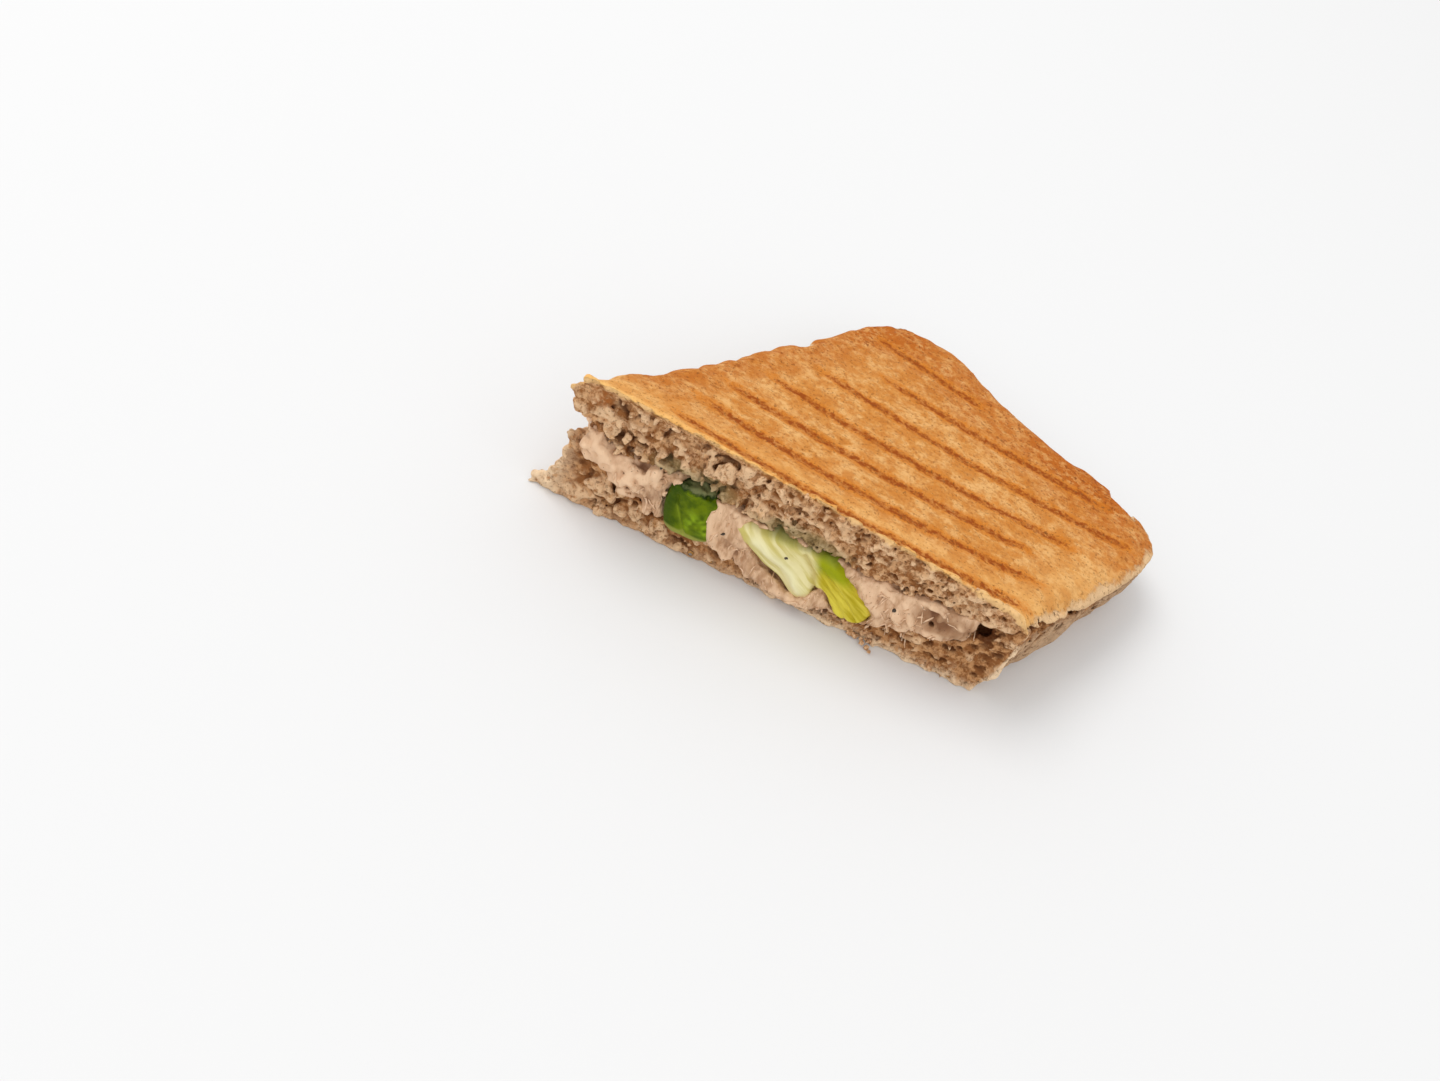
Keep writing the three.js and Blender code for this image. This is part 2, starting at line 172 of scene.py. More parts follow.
class Paint:
    """A material that is written as a formula."""

    def __init__(self, name):
        self.material = bpy.data.materials.new(name)
        self.material.use_nodes = True
        self.tree = self.material.node_tree
        self.shader = self.tree.nodes["Principled BSDF"]
        self.place = self.node("ShaderNodeTexCoord", output="Object")

    def node(self, kind, settings=None, sockets=None, output=0):
        """Adds a node: its settings come first, then the values or links of its sockets."""
        made = self.tree.nodes.new(kind)
        for key, value in (settings or {}).items():
            setattr(made, key, value)
        for key, value in (sockets or {}).items():
            self.feed(made.inputs[key], value)
        return Value(self, made.outputs[output])

    def feed(self, socket, value):
        """Links a value to a socket, or sets a plain number or colour on it."""
        if isinstance(value, Value):
            self.tree.links.new(value.socket, socket)
        else:
            socket.default_value = value

    def noise(self, size_mm, detail=3, roughness=0.55, stretch=(1, 1, 1)):
        """Smooth random values from 0 to 1 whose blobs are about size_mm wide."""
        scaled = self.node(
            "ShaderNodeVectorMath", {"operation": "MULTIPLY"}, {0: self.place, 1: stretch}
        )
        sockets = {
            "Vector": scaled,
            "Scale": 1 / (size_mm * MM),
            "Detail": detail,
            "Roughness": roughness,
        }
        return self.node("ShaderNodeTexNoise", {"noise_dimensions": "3D"}, sockets)

    def step(self, value, start, end):
        """0 below start, 1 above end, and smooth in between."""
        settings = {"interpolation_type": "SMOOTHSTEP"}
        sockets = {"Value": value, "From Min": start, "From Max": end}
        return self.node("ShaderNodeMapRange", settings, sockets)

    def mix(self, share, first, second):
        """A colour that goes from first to second as share goes from 0 to 1."""
        settings = {"data_type": "RGBA", "clamp_factor": True}
        return self.node("ShaderNodeMix", settings, {0: share, 6: first, 7: second}, output=2)

    def coats(self, colour, *coats):
        """Lays coats over a colour, one after the other. Each is a share and its own colour."""
        for share, coat in coats:
            colour = self.mix(share, colour, coat)
        return colour

    def mask(self, name):
        """A value that was stored on every point of the mesh."""
        return self.node("ShaderNodeAttribute", {"attribute_name": name}, output="Fac")

    def bump(self, height, depth_mm):
        """Dents too fine to model, depth_mm deep from height 0 to height 1."""
        sockets = {"Height": height, "Distance": depth_mm * MM, "Strength": 1.0}
        return self.node("ShaderNodeBump", {}, sockets)

    def finish(self, colour, roughness, shine, bump=None):
        """Feeds the shader and gives back the finished material."""
        sockets = {"Base Color": colour, "Roughness": roughness, "Specular IOR Level": shine}
        if bump is not None:
            sockets["Normal"] = bump
        for name, value in sockets.items():
            self.feed(self.shader.inputs[name], value)
        return self.material


def tone(red, green, blue):
    """A colour as a painter names it, 0 to 255, in the linear light that shaders use."""
    share = [v / 255 for v in (red, green, blue)]
    linear = [v / 12.92 if v <= 0.04045 else ((v + 0.055) / 1.055) ** 2.4 for v in share]
    return (*linear, 1)


bpy.ops.mesh.primitive_plane_add(size=6)
floor = bpy.context.object
floor.name = "floor"
floor.data.materials.append(Paint("white_floor").finish(tone(222, 222, 222), 1.0, shine=0.0))

# %% [markdown]
# ## Voxels
#
# Bread is a foam, and a foam is hard to model with faces and easy to model with small cubes.
# Each CAD solid becomes a block of cubes that hold the distance to its skin, below zero
# inside. Adding to the distance moves the skin inwards, and the larger of two distances cuts
# one shape out of another. First come smooth random fields, which every rough skin needs: a
# coarse grid of random numbers, spread over the fine one by a B-spline along each axis.

# %% Smooth random fields
def spline_weights(count, cell):
    """Weights that spread a coarse row of random numbers smoothly over a fine row."""
    at = np.arange(count) / cell + 1
    start = np.floor(at).astype(int)
    t = at - start
    weights = np.zeros((count, int(start.max()) + 3), np.float32)
    parts = (
        (1 - t) ** 3 / 6,
        (3 * t**3 - 6 * t**2 + 4) / 6,
        (-3 * t**3 + 3 * t**2 + 3 * t + 1) / 6,
        t**3 / 6,
    )
    for offset, part in enumerate(parts):
        weights[np.arange(count), start - 1 + offset] = part
    return weights


def random_field(shape, cells, seed):
    """Smooth noise with a spread of about 1, whose blobs are as many cubes wide as cells say."""
    rows = [spline_weights(count, max(cell, 1.0)) for count, cell in zip(shape, cells)]
    rng = np.random.default_rng(seed)
    field = rng.standard_normal([row.shape[1] for row in rows]).astype(np.float32)
    for axis, row in enumerate(rows):
        field = np.moveaxis(np.tensordot(row, field, axes=(1, axis)), 0, axis)
    return field / field.std()


def smooth_step(value, start, end):
    """0 at start, 1 at end, and smooth in between; start may be the larger one."""
    t = np.clip((value - start) / (end - start), 0, 1)
    return t * t * (3 - 2 * t)


def cracks(noise, width):
    """1 where noise crosses zero, which draws a net of creases round rounded lumps."""
    return np.clip(1 - np.abs(noise) / width, 0, 1) ** 2


# %% [markdown]
# A block of cubes is filled from a CAD solid by OpenVDB, the library that Blender carries for
# smoke and remeshing. The block keeps its x, y and z as three thin arrays, so that a formula
# such as `block.z - block.x` gives a value for every cube without a loop.

# %% A block of cubes
BAND = 4.0
MARGIN = 2.5


class Block:
    """Distances to a skin, in millimetres, on a regular grid of cubes."""

    def __init__(self, low, high, cube):
        self.cube = cube
        self.first = np.floor(np.array(low) / cube).astype(int)
        shape = np.ceil(np.array(high) / cube).astype(int) - self.first + 1
        self.field = np.full(shape, BAND, np.float32)
        axes = [(self.first[i] + np.arange(shape[i], dtype=np.float32)) * cube for i in range(3)]
        self.x = axes[0][:, None, None]
        self.y = axes[1][None, :, None]
        self.z = axes[2][None, None, :]

    def noise(self, size, seed, stretch=(1, 1, 1)):
        """Smooth noise whose blobs are size millimetres wide."""
        return random_field(self.field.shape, [size * s / self.cube for s in stretch], seed)

    def flat_noise(self, size, seed):
        """Noise that is the same at every height."""
        cells = (size / self.cube, size / self.cube, 1)
        return random_field((*self.field.shape[:2], 1), cells, seed)

    def egg(self, centre, radii, grow=False):
        """Cuts an egg-shaped hole or grows an egg-shaped lump, in the cubes round it only."""
        low = np.maximum(np.floor((centre - radii) / self.cube).astype(int) - self.first, 0)
        high = np.ceil((centre + radii) / self.cube).astype(int) - self.first + 1
        part = tuple(slice(a, max(b, a)) for a, b in zip(low, high))
        x = (self.x[part[0]] - centre[0]) / radii[0]
        y = (self.y[:, part[1]] - centre[1]) / radii[1]
        z = (self.z[:, :, part[2]] - centre[2]) / radii[2]
        gap = (np.sqrt(x * x + y * y + z * z) - 1) * min(radii)
        old = self.field[part]
        self.field[part] = np.minimum(old, gap) if grow else np.maximum(old, -gap)

    def picked(self, where, count, rng):
        """Cubes drawn at random from those that where marks."""
        cubes = np.argwhere(where)
        return cubes[rng.integers(0, len(cubes), count)]

    def places(self, cubes):
        """Where cubes lie, in millimetres."""
        return (cubes + self.first) * self.cube

    def read(self, grid, points):
        """Reads a grid or a map of this block between its cubes, at points in millimetres."""
        dims = grid.ndim
        grid = np.broadcast_to(grid, self.field.shape[:dims])
        at = points[:, :dims] / self.cube - self.first[:dims]
        at = np.clip(at, 0, np.array(grid.shape) - 1.001)
        low = at.astype(int)
        t = (at - low).astype(np.float32)
        total = np.zeros(len(points), np.float32)
        for corner in np.ndindex(*(2,) * dims):
            parts = [t[:, i] if bit else 1 - t[:, i] for i, bit in enumerate(corner)]
            total += np.prod(parts, axis=0) * grid[tuple(low[:, i] + bit for i, bit in enumerate(corner))]
        return total


def block_of(node, cube):
    """The block of cubes that holds a CAD solid, with a margin round it."""
    mesh = frame["nodes"][node].data
    points = np.empty(len(mesh.vertices) * 3, np.float32)
    mesh.vertices.foreach_get("co", points)
    points = points.reshape(-1, 3) / MM
    mesh.calc_loop_triangles()
    corners = np.empty(len(mesh.loop_triangles) * 3, np.int32)
    mesh.loop_triangles.foreach_get("vertices", corners)
    grid = openvdb.FloatGrid.createLevelSetFromPolygons(
        points,
        triangles=corners.reshape(-1, 3).astype(np.uint32),
        transform=openvdb.createLinearTransform(voxelSize=cube),
        halfWidth=BAND / cube,
    )
    block = Block(points.min(0) - MARGIN, points.max(0) + MARGIN, cube)
    grid.copyToArray(block.field, ijk=tuple(int(v) for v in block.first))
    block.smooth = block.field.copy()
    print(node, "became", block.field.shape, "cubes of", cube, "mm")
    return block


# %% [markdown]
# OpenVDB also turns the cubes back into faces. Carving leaves loose islands and closed
# bubbles, which nobody wants in a mesh, so only the largest connected skin is kept. A
# Decimate modifier then spends the triangles where the skin is rough.

# %% From cubes to a mesh
def largest_part(count, quads):
    """Marks the points of the largest connected skin."""
    label = np.arange(count)
    edges = np.concatenate([quads[:, [0, 1]], quads[:, [1, 2]], quads[:, [2, 3]]])
    settled = False
    while not settled:
        old = label.copy()
        lowest = np.minimum(label[edges[:, 0]], label[edges[:, 1]])
        np.minimum.at(label, edges[:, 0], lowest)
        np.minimum.at(label, edges[:, 1], lowest)
        label = label[label]
        settled = (label == old).all()
    return label == np.bincount(label).argmax()


def new_piece(name, points, faces):
    """Adds a smooth-shaded object made of points in millimetres."""
    mesh = bpy.data.meshes.new(name)
    mesh.from_pydata(points * MM, [], faces)
    mesh.shade_smooth()
    piece = bpy.data.objects.new(name, mesh)
    bpy.context.scene.collection.objects.link(piece)
    return piece


def skin(block, name, triangles):
    """The mesh of a block, thinned to a number of triangles."""
    grid = openvdb.FloatGrid(BAND)
    grid.copyFromArray(np.clip(block.field, -BAND, BAND))
    points, _, quads = grid.convertToPolygons(isovalue=0.0)
    quads = quads[:, ::-1].astype(np.int64)
    kept = largest_part(len(points), quads)
    quads = (np.cumsum(kept) - 1)[quads[kept[quads[:, 0]]]]
    piece = new_piece(name, (points[kept] + block.first) * block.cube, quads.tolist())
    if len(quads) * 2 > triangles:
        thin = piece.modifiers.new("thin", "DECIMATE")
        thin.ratio = triangles / (2 * len(quads))
        bpy.context.view_layer.objects.active = piece
        bpy.ops.object.modifier_apply(modifier="thin")
    left = sum(len(face.vertices) - 2 for face in piece.data.polygons)
    print(name, "went from", len(quads) * 2, "triangles to", left)
    return piece


def points_of(piece):
    """The points of a mesh in millimetres."""
    points = np.empty(len(piece.data.vertices) * 3, np.float32)
    piece.data.vertices.foreach_get("co", points)
    return points.reshape(-1, 3) / MM


def store(piece, **values):
    """Keeps values for every point of a mesh, where its paint can read them by name."""
    for name, value in values.items():
        layer = piece.data.attributes.new(name, "FLOAT", "POINT")
        layer.data.foreach_set("value", np.ascontiguousarray(value, np.float32))


def dress(piece, material, node=None):
    """Paints a piece, fixes it to the one body, and hides the CAD node that it stands for, if any."""
    piece.data.materials.append(material)
    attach(piece, "root")
    if node:
        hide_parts(node)


# %% [markdown]
# ## Maps of a slice
#
# Three facts about a slice steer both its carving and its colour: how deep a point lies under
# the toasted crust, how far it is from the outline, and how far it is from the cut. The first
# two are maps seen from above, worked out from the cubes themselves.

# %% Crust and outline maps
def blurred(values, radius, axis):
    """Averages each value with its neighbours along one axis, radius cells to both sides."""
    padding = [(radius + 1, radius) if i == axis else (0, 0) for i in range(values.ndim)]
    total = np.cumsum(np.pad(values, padding, "edge"), axis=axis, dtype=np.float64)
    count = values.shape[axis]
    width = 2 * radius + 1
    ahead_of, behind = range(width, width + count), range(count)
    return (np.take(total, ahead_of, axis) - np.take(total, behind, axis)) / width


def crust_map(block, side):
    """The height of the crust over every column, carried on sideways past the outline."""
    inside = (block.field < 0) if side < 0 else (block.field < 0)[:, :, ::-1]
    known = inside.any(axis=2)
    found = inside.argmax(axis=2)
    height = (found if side < 0 else inside.shape[2] - 1 - found) + block.first[2]
    height = np.where(known, height * block.cube, 0)
    for radius in (1, 2, 4, 8):
        total, share = height * known, known * 1.0
        for axis in (0, 1):
            total, share = blurred(total, radius, axis), blurred(share, radius, axis)
        reached = share > 0.01
        height = np.where(known, height, total / np.maximum(share, 0.01))
        known = known | reached
    return height.astype(np.float32)


def outline_map(block):
    """How far inside the outline, seen from above, each column is."""
    footprint = (block.field < 0).any(axis=2)
    inner = footprint.copy()
    inner[1:-1, 1:-1] &= footprint[2:, 1:-1] & footprint[:-2, 1:-1]
    inner[1:-1, 1:-1] &= footprint[1:-1, 2:] & footprint[1:-1, :-2]
    coarse = 3
    rows, columns = np.indices(footprint[::coarse, ::coarse].shape, dtype=np.float32) * coarse
    gap = np.full(rows.shape, np.inf, np.float32)
    for row, column in np.argwhere(footprint & ~inner)[::2]:
        np.minimum(gap, (rows - row) ** 2 + (columns - column) ** 2, out=gap)
    fine = np.repeat(np.repeat(np.sqrt(gap), coarse, 0), coarse, 1)
    fine = fine[: footprint.shape[0], : footprint.shape[1]]
    for axis in (0, 1):
        fine = blurred(fine, coarse - 1, axis)
    return np.where(footprint, fine * block.cube, 0).astype(np.float32)


# %% [markdown]
# ## The marks of the grill
#
# A contact grill prints dark lines about 13 mm apart. Here they bow a little towards the cut,
# and they fade out at both ends. Each line is a parabola through three distances from the
# cut: at its left end, its middle and its right end.

# %% Grill marks
top_low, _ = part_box("top_slice")
cut_y = top_low.y / MM
cut_start = top_low.x / MM + 0.5
loaf_angle = math.radians(62)
print("the cut starts at x", round(cut_start, 1), "and lies at y", round(cut_y, 1))


def cut_place(x, y):
    """Where a point lies from the cut: how far along it, and how far inward of it."""
    return x - cut_start, y - cut_y


def near_cut(along, inward, height):
    """The place of a point given by how far it is along the cut, inward and above the floor."""
    return np.array((cut_start + along, cut_y + inward, height))


def loaf_place(x, y):
    """Where a point lies in the whole loaf: how far along it, and how far across it."""
    along, inward = cut_place(x, y)
    way = (math.cos(loaf_angle), math.sin(loaf_angle))
    return along * way[0] + inward * way[1], along * way[1] - inward * way[0]


# Where each line starts and ends along the cut, then its three distances from the cut.
GRILL_LINES = (
    (20, 115, 7, 2.5, 6),
    (22, 116, 19, 14, 18),
    (25, 112, 31, 26.5, 28),
    (33, 123, 43.5, 38, 39),
    (43, 138, 58, 51, 51),
    (58, 128, 70, 65, 63),
    (53, 88, 88, 84, 80),
)
LINE_WIDTH = 2.15


def grill_mark(x, y):
    """1 on the line of a grill ridge and 0 between two ridges."""
    along, inward = cut_place(x, y)
    total = np.zeros(np.broadcast(x, y).shape, np.float32)
    for start, end, left, middle, right in GRILL_LINES:
        t = (along - start) / (end - start)
        line = left * (1 - t) * (1 - 2 * t) + 4 * middle * t * (1 - t) + right * t * (2 * t - 1)
        fade = smooth_step(t, -0.05, 0.1) * smooth_step(t, 1.05, 0.9)
        total = np.maximum(total, fade * np.exp(-(((inward - line) / LINE_WIDTH) ** 2)))
    return total


# %% [markdown]
# ## Carving a slice
#
# The knife tears the crumb rather than cutting it. Near the pointed end the bread came apart
# in lumps with deep cracks, and towards the blunt end it stayed fine and even. The closed
# sides were pulled off other bread, so their crumb is open too, with a wavy outline, and the
# upper slice has lost a flake at the far corner. The crust keeps its skin: only dimples and
# the grooves of the grill go into it.
#
# Each slice is measured first, so that the steps after it can ask where every cube lies.

# %% Measure and tear a slice
BREAD_CUBE = 0.38
UP, DOWN = 1, -1


def stain_and_shade_patch(points, along, height, half_length, half_height):
    """1 in the middle of a patch on the cut face and 0 at its edge. Some patches are stains, and others
    are painted shade in the dark hole and in the tuna's recess.
    """
    a = (points[:, 0] - cut_start - along) / half_length
    b = (points[:, 2] - height) / half_height
    return smooth_step(a * a + b * b, 1.2, 0.2) * smooth_step(points[:, 1] - cut_y, 8, 4)


def slice_block(node, side):
    """The cubes of a slice, with where each one lies. Its crust looks up or down, as side says.

    rim, inward, along and below are millimetres. The rest are shares from 0 to 1: steep on
    upright skin, at_cut and at_side near the cut and the closed sides, short_side on the side
    that ends the loaf, and loose in the lumpy crumb near the pointed end.
    """
    block = block_of(node, BREAD_CUBE)
    block.side = side
    block.crust = crust_map(block, side)
    block.rim = outline_map(block)
    block.below = (block.crust[:, :, None] - block.z) * side
    block.along, block.inward = cut_place(block.x, block.y)
    block.facing = np.gradient(block.smooth, block.cube, axis=2) * side
    block.steep = smooth_step(np.abs(block.facing), 0.85, 0.4)
    block.under_crust = smooth_step(block.below, 0.4, 2.2)
    block.at_cut = smooth_step(block.inward, 9, 4)
    block.at_side = smooth_step(block.rim[:, :, None], 6, 3) * (1 - block.at_cut)
    block.short_side = smooth_step(loaf_place(block.x, block.y)[1], 86, 93)
    block.loose = smooth_step(block.along, 60, 34) * smooth_step(block.along, -2, 13)
    return block


def tear(block, seed):
    """Moves the skin inwards where bread is missing, and makes the outline wavy."""
    rim = block.rim[:, :, None]
    torn = block.at_cut * block.steep * block.under_crust * (0.25 + 0.95 * block.loose)
    if block.side == UP:
        flake = smooth_step(block.along, 127.4, 128) * smooth_step(block.along, 141, 130)
        torn = torn + 1.7 * (flake * (block.inward > 55)) * smooth_step(rim, 5, 2.5)
    wavy = 0.25 * block.flat_noise(6, seed + 9) + 0.16 * block.flat_noise(2.4, seed + 10)
    torn = torn + wavy * smooth_step(rim, 3.5, 1.5) * (1 - block.at_cut)
    block.field += torn
    block.base = block.smooth + torn


# %% [markdown]
# Lumps and pores are eggs. Lumps grow out of cubes a little inside the skin, and pores are cut
# round cubes close to it, so both show half of their shape. Their sizes vary as real ones do:
# many near the usual size, and a few far larger.

# %% Lumps, cracks and pores
dark_hole = Vector(near_cut(106.3, 0.8, 19.6))
CREVICES = (
    # along the cut, above the floor, radius
    (10.9, 21.9, 1.5),
    (12.6, 24.9, 1.3),
    (16.9, 22.4, 1.5),
    (18.3, 26, 1.1),
    (24.5, 25.2, 1.1),
    (26, 30, 0.7),
)


def grow_lumps(block, rng):
    """Grows crumbs out of the torn face: large near the pointed end, and then fine ones."""
    fine_lumps = 1100 if block.side == UP else 250
    for where, count, size in ((block.along < 60, 160, 1.2), (block.along > 46, fine_lumps, 0.65)):
        deep = -block.smooth / size
        where = where & (deep > 0.6) & (deep < 1.2) & (block.below > 1.2 * size)
        cubes = block.picked(where & (block.at_cut > 0.5), count, rng)
        sizes = size * np.exp(0.3 * rng.standard_normal(count))
        for centre, radius in zip(block.places(cubes), sizes):
            block.egg(centre, radius * rng.uniform(0.75, 1.25, 3), grow=True)


def crack_crumb(block, seed, fine, coarse, lip, seam):
    """Roughens the crumb, its lip under the crust, and the seam where the two slices part."""
    grit, small = block.noise(1.05, seed + 2), block.noise(2.0, seed + 1)
    depth = 1.5 * cracks(block.noise(4.2, seed), 0.55) + 0.7 * cracks(block.noise(2.3, seed + 7), 0.5)
    depth = block.loose * depth + (0.25 * cracks(small, 0.35) + fine * grit + 0.14 * block.loose * grit)
    depth *= block.at_cut
    coarse = coarse + 0.12 * block.short_side
    wall = block.at_side * (0.4 + 0.6 * block.steep)
    depth += wall * (coarse * grit + 0.15 * block.noise(3, seed + 6) + 1.6 * coarse * cracks(small, 0.3))
    block.field += block.under_crust * depth
    at_lip = smooth_step(block.inward, 3, 1) * smooth_step(block.below, 2.0, 0.6)
    block.field += at_lip * (lip[0] * small + lip[1] * grit + lip[2])
    at_seam = smooth_step(block.rim[:, :, None], 4.5, 2.5) * smooth_step(block.inward, 8, 14)
    at_seam = at_seam * smooth_step(block.facing, -0.3, -0.8) * (1 - block.short_side)
    block.field += at_seam * (seam + 0.25 * block.noise(5, seed + 8))


def press_crust(block, seed):
    """Presses the grooves of the grill and shallow dimples into the crust."""
    depth = 0.3 * grill_mark(block.x, block.y) + 0.1 * block.flat_noise(2.6, seed + 3)
    depth = depth + 0.05 * block.flat_noise(1.2, seed + 4)
    block.field += smooth_step(block.below, 2.0, 0.3) * depth


def cut_pores(block, rng, pores):
    """Cuts pores, given as how many, their radius, where, and how much the radius varies."""
    near_skin = (np.abs(block.smooth) < 0.8) & (block.along > 7)
    for count, size, where, spread in pores:
        cubes = block.picked(near_skin & where, count, rng) + rng.random((count, 3))
        sizes = np.clip(size * np.exp(spread * rng.standard_normal(count)), 0.25, 1.4)
        for centre, radius in zip(block.places(cubes), sizes):
            block.egg(centre, radius * rng.uniform((0.9, 0.8, 0.6), (1.6, 1.5, 1.0)))


def bore_dark_hole(block, radii):
    """Cuts the dark hole near the blunt end: a row of eggs that slants inwards and down."""
    for egg in range(5):
        block.egg(np.array(dark_hole) + egg * np.array((0.1, 1, -0.9)), np.array(radii))


# %% [markdown]
# The two slices differ in how coarse they are, in their pores and at the pointed end, where
# the lower one ends in a thin torn tip. The upper one has deep crevices there, and a hollow
# over the dark leaf.

# %% Carve the two slices
HOLE_IN_BREAD = (1.7, 1.6, 1.6)
# Each patch is along the cut, above the floor, half as long and half as tall. The patch in the
# dark hole is painted shade, and the others are stains.
HOLE_SHADE = (106.5, 18, 2.6, 3.4)
GREEN_STAINS = ((32, 23, 13, 4), (60, 21.5, 14, 4))
BROWN_STAIN = (6.5, 34.5, 3.5, 3)


def carve_top(seed):
    block = slice_block("top_slice", UP)
    rng = np.random.default_rng(seed)
    tear(block, seed)
    grow_lumps(block, rng)
    crack_crumb(block, seed, fine=0.28, coarse=0.15, lip=(0.3, 0.32, 0), seam=0.3)
    press_crust(block, seed)
    cut_crumb = (block.at_cut > 0.5) & (block.below > 0.6)
    pores = [
        (260, 0.55, cut_crumb & (block.along > 50), 0.3),
        (1500, 0.34, cut_crumb & (block.along > 28), 0.25),
        *side_pores(block),
    ]
    cut_pores(block, rng, pores)
    bore_dark_hole(block, HOLE_IN_BREAD)
    for along, height, radius in CREVICES:
        block.egg(near_cut(along, 1, height), radius * np.array((1.4, 2.2, 0.9)))
    block.egg(near_cut(33, 0, 22.4), np.array((6, 2.5, 1.5)))
    return level_below(block)


def carve_bottom(seed):
    block = slice_block("bottom_slice", DOWN)
    rng = np.random.default_rng(seed)
    tear(block, seed)
    grow_lumps(block, rng)
    crack_crumb(block, seed, fine=0.2, coarse=0.3, lip=(0.22, 0.16, -0.2), seam=0.6)
    press_crust(block, seed)
    cut_crumb = (block.at_cut > 0.5) & (block.below > 0.9)
    pores = [
        (130, 0.55, cut_crumb & (block.along > 50), 0.3),
        (600, 0.34, cut_crumb & (block.along > 28), 0.25),
        *side_pores(block),
        (110, 0.85, cut_crumb & (block.along > 58), 0.3),
        (500, 0.5, (block.at_side > 0.5) & (block.below > 1.2), 0.3),
    ]
    cut_pores(block, rng, pores)
    bore_dark_hole(block, HOLE_IN_BREAD)
    for along in np.arange(-5.4, 0, 0.45):
        tip = near_cut(along, 1.2, 1.6 + rng.uniform(0, 0.7) * (along + 6))
        block.egg(tip, rng.uniform(0.8, 1.5, 3), grow=True)
    return level_below(block)


def side_pores(block):
    """The pores under the lip of the crust, on the closed sides and on the short side."""
    below = block.below
    return [
        (350, 0.3, (block.inward < 2.5) & (below > 0.5) & (below < 1.6), 0.3),
        (2200, 0.36, (block.at_side > 0.5) & (below > 1.3), 0.3),
        (220, 0.6, (block.at_side * block.short_side > 0.5) & (below > 1.5) & (block.along < 132), 0.3),
    ]


def level_below(block):
    """Cuts off what would reach below the floor."""
    np.maximum(block.field, 0.05 - block.z, out=block.field)
    return block


def finish_slice(block, name, triangles):
    """Meshes a slice and keeps the facts that its paint needs."""
    piece = skin(block, name, triangles)
    points = points_of(piece)
    along, inward = cut_place(points[:, 0], points[:, 1])
    loaf_along, loaf_across = loaf_place(points[:, 0], points[:, 1])
    # Painted shade: the dark hole counts as deeper, so the crumb paint darkens it more.
    shade_in_hole = smooth_step(inward, 0.4, 1.4) * stain_and_shade_patch(points, *HOLE_SHADE)
    store(
        piece,
        below=(block.read(block.crust, points) - points[:, 2]) * block.side,
        facing=block.read(block.facing, points),
        hollow=1.6 * shade_in_hole - block.read(block.base, points),
        rim=block.read(block.rim, points),
        inward=inward,
        along=along,
        loaf_along=loaf_along,
        loaf_across=loaf_across,
        mark=grill_mark(points[:, 0], points[:, 1]),
        green=sum(stain_and_shade_patch(points, *place) for place in GREEN_STAINS),
        brown=stain_and_shade_patch(points, *BROWN_STAIN),
        pale=smooth_step(along, 6, -2) * (block.side == DOWN),
    )
    return piece


top_bread = finish_slice(carve_top(seed=11), "top_bread", triangles=190000)
bottom_bread = finish_slice(carve_bottom(seed=31), "bottom_bread", triangles=180000)

# %% [markdown]
# ## Bread colours
#
# Toasting colours only the outermost millimetre. The paint therefore asks how deep a point
# lies under the crust: the skin is golden to orange-brown, a thin line under it is golden, and
# everything deeper is the grey-brown of wholemeal crumb, flecked with bran. Painted shade
# darkens it inside a hollow, and a painted highlight lightens the tops of its lumps. On the cut
# face two patches by the leaves are stained green and one at the upper tip brown, painted
# shade darkens the dark hole near the blunt end, and the thin tip of the lower slice is pale.
# The lower slice's crumb is darker and warmer: partly its own colour, and partly painted shade
# and a painted warm reflection.

# %% Bread paint
def crust_colour(paint):
    """Toasted skin: golden in the middle, orange-brown at the baked rims, dark on the ridges."""
    rim, inward, mark = paint.mask("rim"), paint.mask("inward"), paint.mask("mark")
    loaf_along, loaf_across = paint.mask("loaf_along"), paint.mask("loaf_across")
    grain, speck = paint.noise(1.2, 4, 0.65), paint.noise(0.8, 3, 0.6)
    blotch = paint.noise(4, 4, 0.65)
    base = paint.mix(paint.step(paint.noise(11, 3), 0.4, 0.6), tone(211, 154, 89), tone(201, 136, 66))
    front = paint.step(inward, 13, 7) * 0.27 + paint.step(inward, 3.4, 1.8) * 0.4
    baked = paint.step(rim, 17, 4) * paint.step(inward, 4, 16) * paint.step(loaf_across, 92, 78)
    baked = baked * 0.85 + paint.step(loaf_along, 88, 112) * 0.9
    mottle = paint.step(paint.noise(2.6, 4, 0.7), 0.4, 0.6)
    scorched = paint.step(paint.noise(1.6, 4, 0.7), 0.54, 0.66)
    pulled = paint.step(loaf_across, 82, 96) * paint.step(inward, 45, 25)
    ragged = mark + (paint.noise(1.8, 4, 0.75) - 0.5) * (mark * 1.6 + 0.5)
    wear = paint.step(paint.noise(1.5, 3, 0.6), 0.4, 0.56)
    dots = paint.step(speck, 0.58, 0.66)
    lip = paint.step(rim + paint.noise(1.6, 4, 0.7) * 5, 4.2, 2.6) * paint.step(inward, 13, 8)
    return paint.coats(
        base,
        (paint.step(blotch, 0.49, 0.38) * 0.55, tone(224, 176, 114)),
        (paint.step(blotch, 0.48, 0.62) * 0.7, tone(190, 116, 42)),
        (paint.step(grain, 0.46, 0.64) * 0.5, tone(166, 102, 44)),
        (front, tone(238, 184, 108)),
        (baked * (mottle * 0.6 + 0.25), tone(176, 96, 28)),
        (scorched * baked * 0.7, tone(140, 68, 16)),
        (pulled * 0.3, tone(222, 172, 104)),
        (paint.step(ragged, 0.1, 0.5) * (wear * 0.25 + 0.5), tone(198, 118, 34)),
        (paint.step(ragged, 0.5, 0.95) * (wear * 0.5 + 0.45), tone(142, 64, 6)),
        (dots * (mark * 0.3 + 0.5), tone(114, 70, 28)),
        (paint.step(speck, 0.36, 0.28) * (0.16 - baked * 0.12), tone(232, 188, 126)),
        (lip * (0.3 + 0.5 * paint.step(blotch, 0.55, 0.4)), tone(230, 184, 114)),
    )


